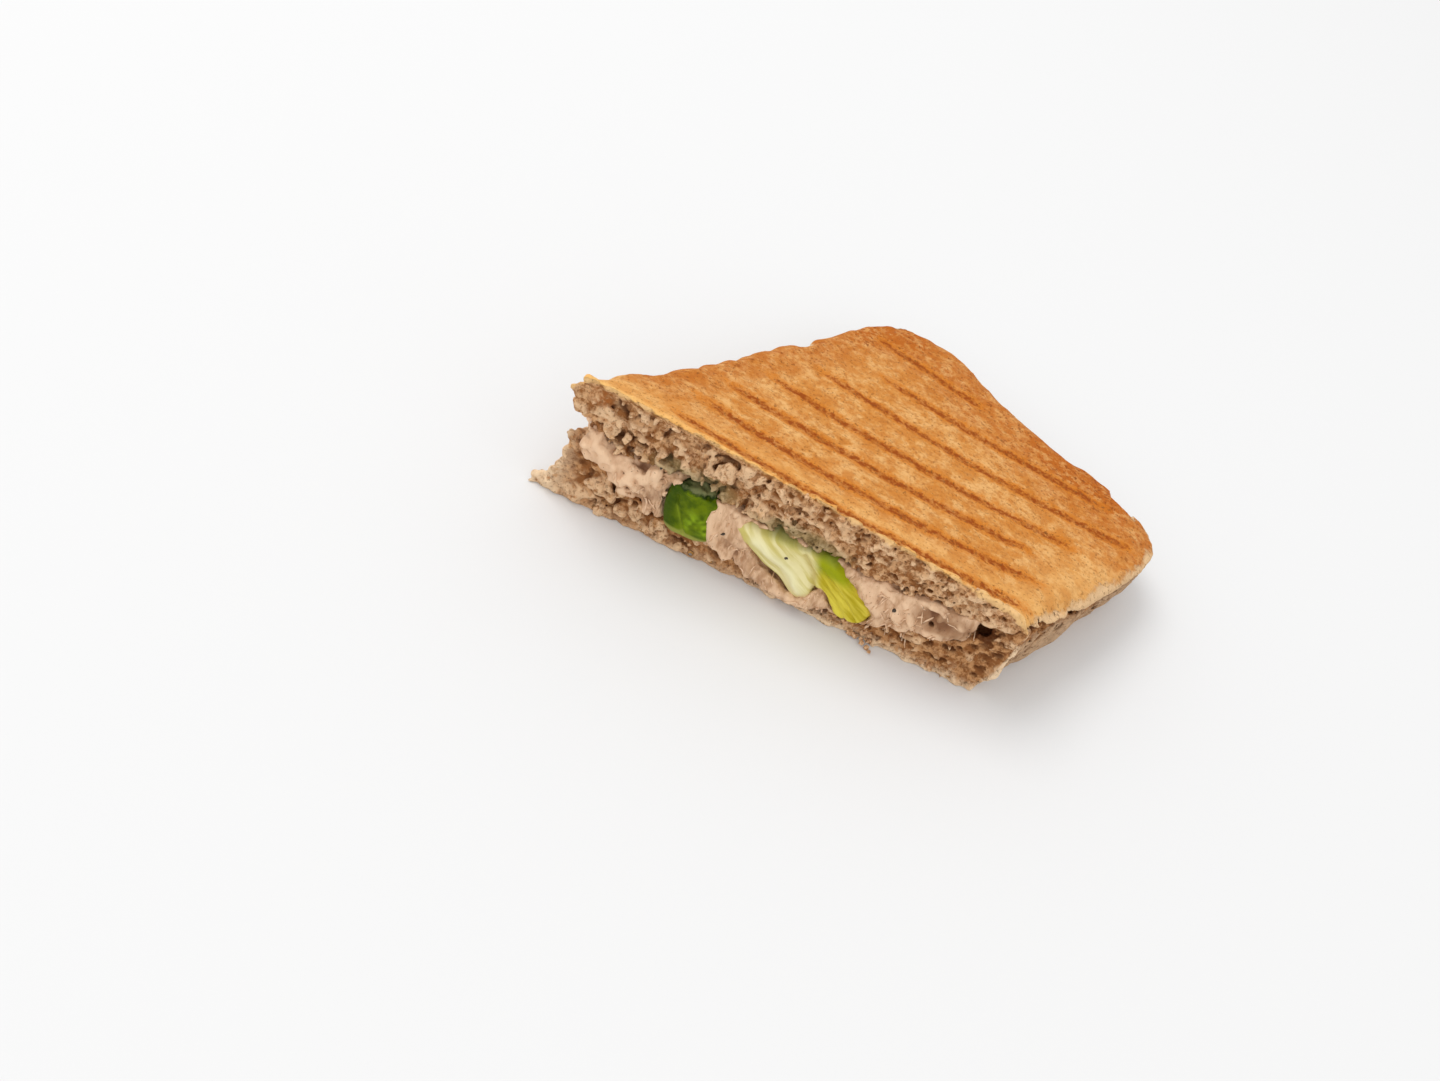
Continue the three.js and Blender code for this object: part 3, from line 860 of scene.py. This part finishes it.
def crumb_colour(paint, light, dark, outside, outside_share, edge, edge_width, edge_left):
    """Wholemeal crumb flecked with bran, with a painted highlight on its lumps and painted shade in its
    hollows.

    outside colours the closed sides. edge is the line under the crust, edge_width its width
    in millimetres, and edge_left how much of it is left at the pointed end.
    """
    hollow, below = paint.mask("hollow"), paint.mask("below")
    grit = paint.noise(1.3, 4, 0.7)
    patch = paint.step(paint.noise(2.2, 4, 0.7), 0.4, 0.58)
    # Painted highlight: the lumps that stand out of the torn face are lightened.
    lump_highlight = paint.step(hollow, 0.1, -0.9) * paint.step(paint.noise(1.5, 3, 0.6), 0.3, 0.5)
    side = paint.step(paint.mask("inward"), 1, 4)
    crust_line = paint.step(below * (1 / edge_width) + grit * 2.4, 2.4, 1.2)
    edge_share = paint.step(paint.mask("along"), 30, 70) * (1 - edge_left) + edge_left
    return paint.coats(
        paint.mix(patch, light, dark),
        # Painted highlight on the tops of the lumps.
        (lump_highlight * 0.8, tone(240, 202, 160)),
        (side * paint.step(below, 5, 3) * outside_share, outside),
        (crust_line * (1 - side * 0.7) * edge_share * 0.8, edge),
        (paint.mask("pale") * paint.step(paint.noise(2.4, 3), 0.3, 0.5) * 0.75, edge),
        (paint.step(paint.noise(0.8, 2), 0.57, 0.67) * 0.5, tone(112, 66, 30)),
        # Painted shade in the hollows, and in the dark hole near the blunt end.
        (paint.step(hollow, 0.3, 1.3) * 0.85, tone(92, 48, 20)),
        (paint.mask("green") * 0.5, tone(136, 134, 92)),
        (paint.mask("brown") * paint.step(grit, 0.4, 0.6) * 0.7, tone(170, 100, 46)),
    )


def bread_paint(name, **crumb_tones):
    """Crust where the skin faces outwards and lies shallow, and crumb everywhere else."""
    paint = Paint(name)
    crusty = paint.step(paint.mask("facing") + paint.noise(1.4, 4, 0.65) * 0.5, 0.7, 0.95)
    crusty = crusty * paint.step(paint.mask("below") + paint.noise(1.2, 3) * 0.8, 1.5, 0.9)
    ragged = paint.mask("rim") + paint.noise(1.4, 4, 0.7) * 3 + paint.noise(7, 2) * 5
    bare_side = paint.step(paint.mask("loaf_across"), 80, 88) * paint.step(ragged, 6.2, 4.6)
    crusty = crusty * (1 - bare_side) * (1 - paint.mask("pale"))
    colour = paint.mix(crusty, crumb_colour(paint, **crumb_tones), crust_colour(paint))
    bump = paint.bump(paint.noise(0.8, 4, 0.7) * (1.5 - crusty), 0.45)
    return paint.finish(colour, 0.85, shine=0.12, bump=bump)


toasted_bread_paint = bread_paint(
    "toasted_bread_paint",
    light=tone(222, 174, 126),
    dark=tone(157, 103, 58),
    outside=tone(226, 192, 152),
    outside_share=0.8,
    edge=tone(240, 194, 130),
    edge_width=1.0,
    edge_left=1.0,
)
# The lower slice's crumb tones are darker and warmer than the upper one's: partly its own colour, and
# partly painted shade and a painted warm reflection.
lower_bread_paint_shaded = bread_paint(
    "bread_paint",
    light=tone(202, 150, 101),
    dark=tone(150, 97, 54),
    outside=tone(160, 130, 102),
    outside_share=0.5,
    edge=tone(246, 217, 180),
    edge_width=2.6,
    edge_left=0.3,
)
dress(top_bread, toasted_bread_paint, "top_slice")
dress(bottom_bread, lower_bread_paint_shaded, "bottom_slice")

# %% [markdown]
# ## The tuna
#
# Tuna in mayonnaise is soft and sticky: short fibres in a cream. Folds bulge over the cut,
# small flakes and fine streaks roughen them, and a hollow lies between two folds near the
# blunt end. The tuna presses against its neighbours with no gap. Towards the pointed end it
# is mixed with crumbs and stays as rough as they are.

# %% Shape the tuna
TUNA_CUBE = 0.38
PRESSED_IN = 0.16


def groove(block, path, width):
    """1 on a line drawn on the face at the cut, through points (along, height)."""
    along, up = block.x - cut_start, block.z
    gap = np.full((block.field.shape[0], 1, block.field.shape[2]), 99.0, np.float32)
    for (a0, b0), (a1, b1) in zip(path, path[1:]):
        length = (a1 - a0) ** 2 + (b1 - b0) ** 2
        t = np.clip(((along - a0) * (a1 - a0) + (up - b0) * (b1 - b0)) / length, 0, 1)
        gap = np.minimum(gap, np.hypot(along - a0 - t * (a1 - a0), up - b0 - t * (b1 - b0)))
    return np.exp(-((gap / width) ** 2))


# Each fold is a path down the face and a width.
TUNA_FOLDS = (
    ([(38.5, 18), (40.5, 10.8), (46, 3)], 1.6),
    ([(44, 20), (47.1, 17), (50.5, 11), (51.4, 3)], 1.4),
    ([(76.8, 17.6), (79.5, 15.8), (83, 11.8)], 1.2),
    ([(82.1, 19), (85.4, 16.9), (88.9, 9.1)], 1.3),
    ([(87.4, 17.5), (90.1, 15.1), (91.4, 11.7)], 0.9),
    ([(94.9, 11.6), (97.6, 13.6), (100.9, 15.1)], 1.1),
    ([(93, 20), (98, 19.5), (102, 18)], 0.8),
)
# Each lump is along the cut, above the floor, half as wide and half as tall.
TUNA_LUMPS = (
    (24.2, 15, 2.4, 3.2),
    (16.7, 19, 3, 2.2),
    (19.5, 22, 2, 1.8),
    (14.6, 16.2, 2.2, 1.6),
    (21.5, 19, 2, 1.8),
)
# Each hole is along the cut, above the floor, and a radius.
TUNA_HOLES = ((95.1, 14.8, 0.8), (48, 14.5, 0.6), (104, 16.5, 0.7), (86.5, 12.2, 0.5))
HOLE_IN_TUNA = (2.0, 1.9, 1.9)

tuna_block = block_of("tuna_filling", TUNA_CUBE)
tuna_along, tuna_inward = cut_place(tuna_block.x, tuna_block.y)
at_face = smooth_step(tuna_inward, 8, 4)
crumbly = smooth_step(tuna_along, 30, 20) * smooth_step(tuna_inward, 12, 6)
tuna_depth = 0.5 * cracks(tuna_block.noise(4.2, 51), 0.3) + 0.3 * tuna_block.noise(2.6, 52) - PRESSED_IN
tuna_depth += 0.17 * tuna_block.noise(0.9, 53, (1, 1, 3)) + 0.13 * tuna_block.noise(1, 54)
tuna_depth += 0.25 * at_face * cracks(tuna_block.noise(2.2, 56, (1, 1, 1.8)), 0.3)
tuna_depth += at_face * (0.3 - sum(groove(tuna_block, path, width) for path, width in TUNA_FOLDS))
recess = ((tuna_along - 97) / 9) ** 2 + ((tuna_block.z - 16.5) / 4.5) ** 2
tuna_depth += 0.9 * at_face * smooth_step(recess, 1.1, 0.3)
tuna_depth += crumbly * (0.7 + 0.9 * cracks(tuna_block.noise(4.6, 55), 0.3))

for along, height, wide, tall in TUNA_LUMPS:
    tuna_block.egg(near_cut(along, 2, height), np.array((wide, 2.4, tall)), grow=True)
tuna_block.field += tuna_depth
rng = np.random.default_rng(57)
deep = -tuna_block.smooth
crumbs_in_tuna = tuna_block.picked((deep > 0.7) & (deep < 1.7) & (crumbly > 0.5), 240, rng)
for centre in tuna_block.places(crumbs_in_tuna):
    tuna_block.egg(centre, 1.25 * rng.uniform(0.7, 1.4, 3), grow=True)
on_face = (deep > 0.75) & (deep < 1.25) & (at_face > 0.5) & (tuna_along > 32)
for centre in tuna_block.places(tuna_block.picked(on_face, 230, rng)):
    tuna_block.egg(centre, rng.uniform((0.6, 0.7, 0.8), (1.1, 1.15, 1.9)), grow=True)
tuna_block.field += crumbly * (0.4 * tuna_block.noise(1.05, 58) + 0.35 * tuna_block.noise(2.2, 59))
for along, height, radius in TUNA_HOLES:
    tuna_block.egg(near_cut(along, 1.0, height), np.array((radius, 2.4, radius)))
bore_dark_hole(tuna_block, HOLE_IN_TUNA)
tuna = skin(tuna_block, "tuna", triangles=160000)
tuna_points = points_of(tuna)
store(
    tuna,
    crumbly=smooth_step(tuna_points[:, 0] - cut_start, 26, 16),
    hollow=-tuna_block.read(tuna_block.smooth, tuna_points),
    # Painted shade in the recess between two folds near the blunt end.
    sunk=stain_and_shade_patch(tuna_points, 98, 16.5, 9, 5),
)


# %% Paint the tuna
def tuna_paint():
    paint = Paint("tuna_paint")
    streaks = paint.noise(1.2, 3, 0.6, (1, 1, 0.25))
    hollow = paint.mask("hollow")
    colour = paint.coats(
        paint.mix(paint.step(streaks, 0.35, 0.65), tone(186, 144, 108), tone(222, 185, 150)),
        (paint.step(paint.noise(4, 3), 0.45, 0.7) * 0.5, tone(176, 130, 94)),
        (paint.mask("crumbly") * 0.6, tone(230, 192, 156)),
        # Painted shade in the recess near the blunt end.
        (paint.mask("sunk") * 0.72, tone(152, 110, 76)),
        # Painted highlight on the bulging folds and lumps.
        (paint.step(hollow, 0.1, -0.7) * 0.7, tone(236, 200, 164)),
        # Painted shade in the tuna's hollows and creases.
        (paint.step(hollow, 0.4, 1.5) * 0.8, tone(110, 64, 34)),
        (paint.step(paint.noise(0.6, 1), 0.72, 0.76) * 0.7, tone(110, 76, 54)),
    )
    bump = paint.bump(paint.noise(0.9, 3, 0.6, (1, 1, 0.5)), 0.25)
    return paint.finish(colour, 0.5, shine=0.2, bump=bump)


dress(tuna, tuna_paint(), "tuna_filling")

# %% [markdown]
# ## The lettuce
#
# Two pieces of leaf show at the cut. The dark one is a folded leaf that bulges out between
# the layers, with one main vein and a ruffled upper edge. The pale one is a crisp rib that
# ends in a yellow-green blade, with some tuna smeared along its lower edge. Each is a block of
# fine cubes: blurring the distances rounds the edges of the CAD solid, and veins and folds are
# grooves along curves in the face.

# %% The dark leaf
LEAF_CUBE = 0.3


def rounded(block, radius):
    """Rounds the edges of a block by averaging its distances over a few millimetres."""
    field = np.clip(block.field, -BAND, BAND)
    for axis in range(3):
        field = blurred(field, round(radius / block.cube), axis)
    block.field = field.astype(np.float32)


green_block = block_of("lettuce_green", LEAF_CUBE)
rounded(green_block, 0.6)
green_vein = groove(green_block, [(30.2, 19), (30.7, 15.4), (32.3, 11.9), (34, 8.3)], 0.5)
green_fold = groove(green_block, [(35.5, 17), (37, 12)], 2)
at_face = smooth_step(green_block.y - cut_y, 6, 2)
waves = 0.3 * green_block.noise(3.2, 61, (0.8, 1, 1.6)) - 0.5 * green_fold
green_block.field += at_face * (0.8 * green_vein + waves) - 0.7
green_block.field += 0.3 * at_face * smooth_step(green_block.z, 20, 20.8) * green_block.noise(0.9, 63)
rng = np.random.default_rng(62)
for along in np.arange(28.5, 34.5, 1.1):
    ruffle = near_cut(along, rng.uniform(1.2, 2.6), 20.6 + rng.uniform(0, 1.0))
    green_block.egg(ruffle, rng.uniform((0.5, 0.9, 0.35), (0.9, 1.6, 0.65)), grow=True)
dark_leaf = skin(green_block, "dark_leaf", triangles=36000)
leaf_points = points_of(dark_leaf)
leaf_along, leaf_height = leaf_points[:, 0] - cut_start, leaf_points[:, 2]
from_vein = leaf_points[:, 0] - cut_start - 32.5 - (11.5 - leaf_height) * 0.46
store(dark_leaf, vein=np.exp(-(from_vein / 0.5) ** 2), height=leaf_height, along=leaf_along)

# %% The pale leaf
pale_block = block_of("lettuce_pale", LEAF_CUBE)
rounded(pale_block, 0.9)
pale_ridge = groove(pale_block, [(51, 16.8), (56, 14.5), (61, 11.8), (64, 8)], 1.5)
pale_fold = groove(pale_block, [(49, 14), (53, 10.8), (57, 8), (60, 5.5)], 0.6)
pale_fold = pale_fold + 0.8 * groove(pale_block, [(62.5, 18), (66, 14), (67.5, 9)], 0.6)
pale_smear = groove(pale_block, [(45.5, 16), (52, 10), (60, 5), (64.5, 3.4), (67.4, 7)], 1.7)
blade_vein = groove(pale_block, [(67, 16.5), (71, 14), (74.5, 11.5), (79, 6)], 0.5)
side_vein = groove(pale_block, [(70, 12), (74, 8), (77, 4.5)], 0.4)
pale_depth = 0.3 * pale_block.noise(4, 72) + 0.1 * pale_block.noise(1.4, 73) - 0.5
pale_depth += 0.7 * blade_vein + 0.5 * side_vein
pale_depth = pale_depth - 0.7 * pale_ridge + 0.8 * pale_fold
pale_block.field += smooth_step(pale_block.y - cut_y, 6, 2) * pale_depth
pale_leaf = skin(pale_block, "pale_leaf", triangles=40000)
leaf_points = points_of(pale_leaf)
leaf_along, leaf_height = leaf_points[:, 0] - cut_start, leaf_points[:, 2]
rib_slant = math.radians(35)
store(
    pale_leaf,
    height=leaf_height,
    along=leaf_along,
    # The ridge's line, which carries its painted highlight.
    ridge=pale_block.read(pale_ridge, leaf_points),
    fold=pale_block.read(pale_fold, leaf_points),
    smear=pale_block.read(pale_smear, leaf_points),
    across=leaf_along * math.sin(rib_slant) + leaf_height * math.cos(rib_slant),
    down=leaf_along * math.cos(rib_slant) - leaf_height * math.sin(rib_slant),
)


# %% Leaf paints
def dark_leaf_paint():
    paint = Paint("green_lettuce_paint")
    along, height = paint.mask("along"), paint.mask("height")
    # Painted highlight on the front of the fold, right of the vein.
    leaf_highlight = paint.step(along, 32, 36) * paint.step(height, 9, 12) * paint.step(height, 18, 13)
    shade = paint.step(height + paint.noise(2, 3) * 3, 22.2, 23.0)
    tips = paint.step(along + paint.noise(1.4, 3) * 6, 33, 36)
    tips = tips * paint.step(height + paint.noise(1, 2) * 2, 22.2, 23.0)
    colour = paint.coats(
        paint.mix(paint.step(paint.noise(3, 3), 0.35, 0.65), tone(68, 88, 0), tone(100, 118, 2)),
        (leaf_highlight * paint.step(paint.noise(2.6, 1), 0.3, 0.6), tone(150, 180, 32)),
        # Painted shade on the left of the fold, which turns away from the light.
        (paint.step(along, 33, 29) * 0.75, tone(44, 66, 0)),
        (paint.mask("vein") * paint.step(height, 16.5, 15) * 0.6, tone(140, 158, 40)),
        (paint.step(height, 9.4, 8.4) * 0.6, tone(168, 166, 84)),
        (shade * 0.95, tone(26, 44, 10)),
        (tips * 0.6, tone(136, 136, 92)),
    )
    return paint.finish(colour, 0.4, shine=0.08, bump=paint.bump(paint.noise(1.2, 3), 0.2))


def pale_leaf_paint():
    paint = Paint("pale_lettuce_paint")
    along, height = paint.mask("along"), paint.mask("height")
    lines = paint.node("ShaderNodeCombineXYZ", {}, {0: paint.mask("across"), 1: paint.mask("down") * 0.12})
    streaks = paint.node("ShaderNodeTexNoise", {}, {"Vector": lines, "Scale": 0.65, "Detail": 3.0})
    rib = paint.mix(paint.step(streaks, 0.36, 0.64), tone(198, 184, 104), tone(227, 216, 160))
    blade = paint.mix(paint.step(streaks, 0.35, 0.65), tone(176, 158, 26), tone(218, 202, 74))
    blade = paint.mix(paint.step(height, 14, 17), blade, tone(150, 156, 14))
    smeared = paint.step(paint.mask("smear") + (paint.noise(1.6, 4, 0.7) - 0.5) * 1.2, 0.3, 0.9)
    colour = paint.coats(
        rib,
        (paint.step(along + height * 0.35, 70.5, 73.5), blade),
        # Painted highlight along the rib's ridge.
        (paint.mask("ridge") * 0.7, tone(238, 232, 190)),
        # Painted shade in the creases of the folds.
        (paint.mask("fold") * 0.6, tone(176, 152, 70)),
        # Painted shade along the top, under the upper slice.
        (paint.step(height, 18.5, 20.5) * 0.6, tone(120, 132, 60)),
        (smeared * 0.85, tone(210, 174, 134)),
    )
    return paint.finish(colour, 0.4, shine=0.08, bump=paint.bump(streaks, 0.2))


dress(dark_leaf, dark_leaf_paint(), "lettuce_green")
dress(pale_leaf, pale_leaf_paint(), "lettuce_pale")

# %% [markdown]
# ## Fibres, strands and crumbs
#
# Shredded tuna shows as short fibres on its face, and some hang down like strings. A fibre is
# a thin tube that is laid on the skin: a ray shot at the food finds where each of its points
# touches. The tubes of one kind are joined into one mesh.

# %% Find the skin with rays
from mathutils.bvhtree import BVHTree


def tree_of(piece):
    mesh = piece.data
    points = [v.co / MM for v in mesh.vertices]
    return BVHTree.FromPolygons(points, [tuple(f.vertices) for f in mesh.polygons])


trees = {piece.name: tree_of(piece) for piece in (top_bread, bottom_bread, tuna, dark_leaf, pale_leaf)}


def nearest_hit(origin, direction):
    """The name and place of the first skin that a ray meets."""
    best_name, best_place, best_distance = None, None, 1e9
    for name, tree in trees.items():
        place, _, _, distance = tree.ray_cast(origin, direction)
        if place is not None and distance < best_distance:
            best_name, best_place, best_distance = name, place, distance
    return best_name, best_place


def tube(points, radii):
    """The points and faces of a closed tube with a radius at each of its points."""
    sides = 6
    ring_points, faces = [], []
    for i, point in enumerate(points):
        way = (points[min(i + 1, len(points) - 1)] - points[max(i - 1, 0)]).normalized()
        side = way.orthogonal().normalized()
        other = way.cross(side)
        for k in range(sides):
            turn = 2 * math.pi * k / sides
            ring_points.append(point + radii[i] * (math.cos(turn) * side + math.sin(turn) * other))
    for i in range(len(points) - 1):
        for k in range(sides):
            a, b = i * sides + k, i * sides + (k + 1) % sides
            faces.append((a, b, b + sides, a + sides))
    last = (len(points) - 1) * sides
    faces.append(tuple(range(sides))[::-1])
    faces.append(tuple(range(last, last + sides)))
    return ring_points, faces


def joined(name, parts):
    """One piece made of many small meshes."""
    points, faces = [], []
    for part_points, part_faces in parts:
        faces.extend(tuple(i + len(points) for i in face) for face in part_faces)
        points.extend(part_points)
    return new_piece(name, np.array([tuple(p) for p in points]), faces)


# %% Paints for fibres, crumbs and pepper
def fibre_paint():
    paint = Paint("tuna_fibre_paint")
    patch = paint.step(paint.noise(2.5, 2), 0.35, 0.65)
    colour = paint.mix(patch, tone(234, 200, 166), tone(206, 164, 126))
    return paint.finish(colour, 0.5, shine=0.3, bump=paint.bump(paint.noise(0.4, 2), 0.08))


def loose_crumb_paint():
    paint = Paint("crumb_paint")
    patch = paint.step(paint.noise(0.8, 3), 0.4, 0.6)
    colour = paint.mix(patch, tone(216, 176, 136), tone(174, 128, 88))
    return paint.finish(colour, 0.85, shine=0.12, bump=paint.bump(paint.noise(0.4, 3), 0.15))


def pepper_paint():
    paint = Paint("pepper_paint")
    colour = paint.mix(paint.noise(0.4, 2), tone(40, 32, 26), tone(72, 60, 44))
    return paint.finish(colour, 0.7, shine=0.5)


# %% Lay the fibres
rng = np.random.default_rng(5)
STAND_OFF = 15
pointed_corner = Vector((cut_start, cut_y, 0))
cut_face = (Vector((0, 1, 0)), Vector((1, 0, 0)))
long_side = (
    Vector((math.sin(loaf_angle), -math.cos(loaf_angle), 0)),
    Vector((math.cos(loaf_angle), math.sin(loaf_angle), 0)),
)


def before(face, along, height):
    """A point well before a face of the sandwich."""
    inwards, run = face
    place = pointed_corner + run * along - inwards * STAND_OFF
    place.z = height
    return place


def laid(face, along, height, slant, length, thickness, lift=0.1):
    """A fibre that starts on a face and follows its skin, slanting away from straight down."""
    inwards, _ = face
    steps = 6
    bend = rng.normal(0, 0.35)
    points = []
    for i in range(steps):
        way = slant + bend * i / steps
        name, place = nearest_hit(before(face, along, height), inwards)
        if place is None or name.endswith("leaf"):
            break
        points.append(place - inwards * lift)
        along += math.sin(way) * length / steps
        height -= math.cos(way) * length / steps
    if len(points) < 3 or height < 0.3:
        return None
    swell = [math.sin(math.pi * (0.15 + 0.7 * i / (len(points) - 1))) for i in range(len(points))]
    return tube(points, [thickness * (0.4 + 0.6 * v) for v in swell])


def fibres_on(face, along_range, count, longest):
    """Fibres at random places on a face, wherever a ray meets tuna first."""
    parts = []
    for _ in range(count):
        along, height = rng.uniform(*along_range), rng.uniform(2, 25)
        name, _ = nearest_hit(before(face, along, height), face[0])
        slant, length = rng.normal(-0.2, 0.6), rng.uniform(1.2, longest)
        thickness = rng.uniform(0.12, 0.24)
        if name == "tuna":
            made = laid(face, along, height, slant, length, thickness)
            if made:
                parts.append(made)
    return parts


def strands_on(face, places):
    """Strings of tuna that hang from its lower edge over the bread."""
    parts = []
    for along, height, length, slant in places:
        for k in range(3):
            shift, thickness = rng.normal(0, 0.5), rng.uniform(0.16, 0.3)
            lean, reach = slant + rng.normal(0, 0.15), length * (1 - 0.25 * k)
            made = laid(face, along + shift, height, lean, reach, thickness, lift=0.25)
            if made:
                parts.append(made)
    return parts


# Each strand is along a face, above the floor, a length and a slant.
CUT_STRANDS = (
    (90.5, 8, 5.5, 0.05),
    (83, 5.5, 3, -0.3),
    (70, 4.5, 3.5, 0.2),
    (23, 12, 5, 0.5),
    (97, 13, 3.5, -0.4),
)
SIDE_STRANDS = (
    (34, 11, 7, 0.1),
    (43, 11, 4, 0.4),
    (58, 10, 6, -0.1),
    (66, 9, 7, -0.5),
    (74, 10, 5, -0.6),
)
fibre_parts = fibres_on(cut_face, (14, 105), count=380, longest=4.0)
fibre_parts += fibres_on(long_side, (12, 96), count=300, longest=4.5)
strand_parts = strands_on(cut_face, CUT_STRANDS) + strands_on(long_side, SIDE_STRANDS)
tuna_fibres = joined("tuna_fibres", fibre_parts + strand_parts)
dress(tuna_fibres, fibre_paint())
print(len(fibre_parts), "fibres lie on the tuna and", len(strand_parts), "hang from it")

# %% [markdown]
# Crumbs break off wherever bread is cut. One rough crumb is made from a small block of cubes,
# then copied at random sizes and turns, a little sunk into the skin. A cluster of them lies at
# the foot of the cut, and the specks of pepper are the same crumb, painted dark.

# %% Scatter the crumbs
def rough_crumb():
    """The points and faces of a rough lump with a radius of about 1 mm."""
    block = Block((-2, -2, -2), (2, 2, 2), cube=0.22)
    block.field = np.sqrt(block.x**2 + block.y**2 + block.z**2) - 1
    block.field = (block.field + 0.28 * block.noise(0.8, 81)).astype(np.float32)
    lump = skin(block, "lump", triangles=400)
    points, faces = points_of(lump), [tuple(face.vertices) for face in lump.data.polygons]
    bpy.data.objects.remove(lump)
    return points, faces


crumb_points, crumb_faces = rough_crumb()


def crumb_at(place, size):
    """A copy of the crumb, squashed and turned at random."""
    turn = Matrix.Rotation(rng.uniform(0, 6.28), 3, "Z") @ Matrix.Rotation(rng.uniform(0, 6.28), 3, "X")
    squash = np.diag(rng.uniform(0.6, 1.2, 3))
    points = crumb_points @ squash @ np.array(turn) * size + np.array(place)
    return [Vector(p) for p in points], crumb_faces


CRUMBS_ON_CUT, CRUMBS_AT_FOOT = 120, 22
SUNK = Vector((0, 0.1, 0))
crumb_parts = []
for along in rng.uniform(2, 111, CRUMBS_ON_CUT):
    height = rng.choice([rng.uniform(1, 3), rng.uniform(20, 36)])
    name, place = nearest_hit(before(cut_face, along, height), cut_face[0])
    if name in ("top_bread", "bottom_bread"):
        crumb_parts.append(crumb_at(place + SUNK, rng.uniform(0.25, 0.6)))
for _ in range(CRUMBS_AT_FOOT):
    along = rng.uniform(79, 85.5)
    out = rng.uniform(0, 0.45) * (along - 78)
    place = Vector((cut_start + along, cut_y - out, rng.uniform(0.3, 1.4)))
    crumb_parts.append(crumb_at(place, rng.uniform(0.22, 0.5)))
crumbs = joined("bread_crumbs", crumb_parts)
dress(crumbs, loose_crumb_paint())
print(len(crumb_parts), "crumbs of bread")

# %% Scatter the pepper
PEPPER_SPECKS = ((58.8, 15.9), (24.3, 23.3), (43, 13), (86, 15))
pepper_parts = []
for along, height in PEPPER_SPECKS:
    _, place = nearest_hit(before(cut_face, along, height), cut_face[0])
    pepper_parts.append(crumb_at(place, rng.uniform(0.28, 0.42)))
pepper = joined("pepper", pepper_parts)
dress(pepper, pepper_paint())
print(len(pepper_parts), "specks of pepper")
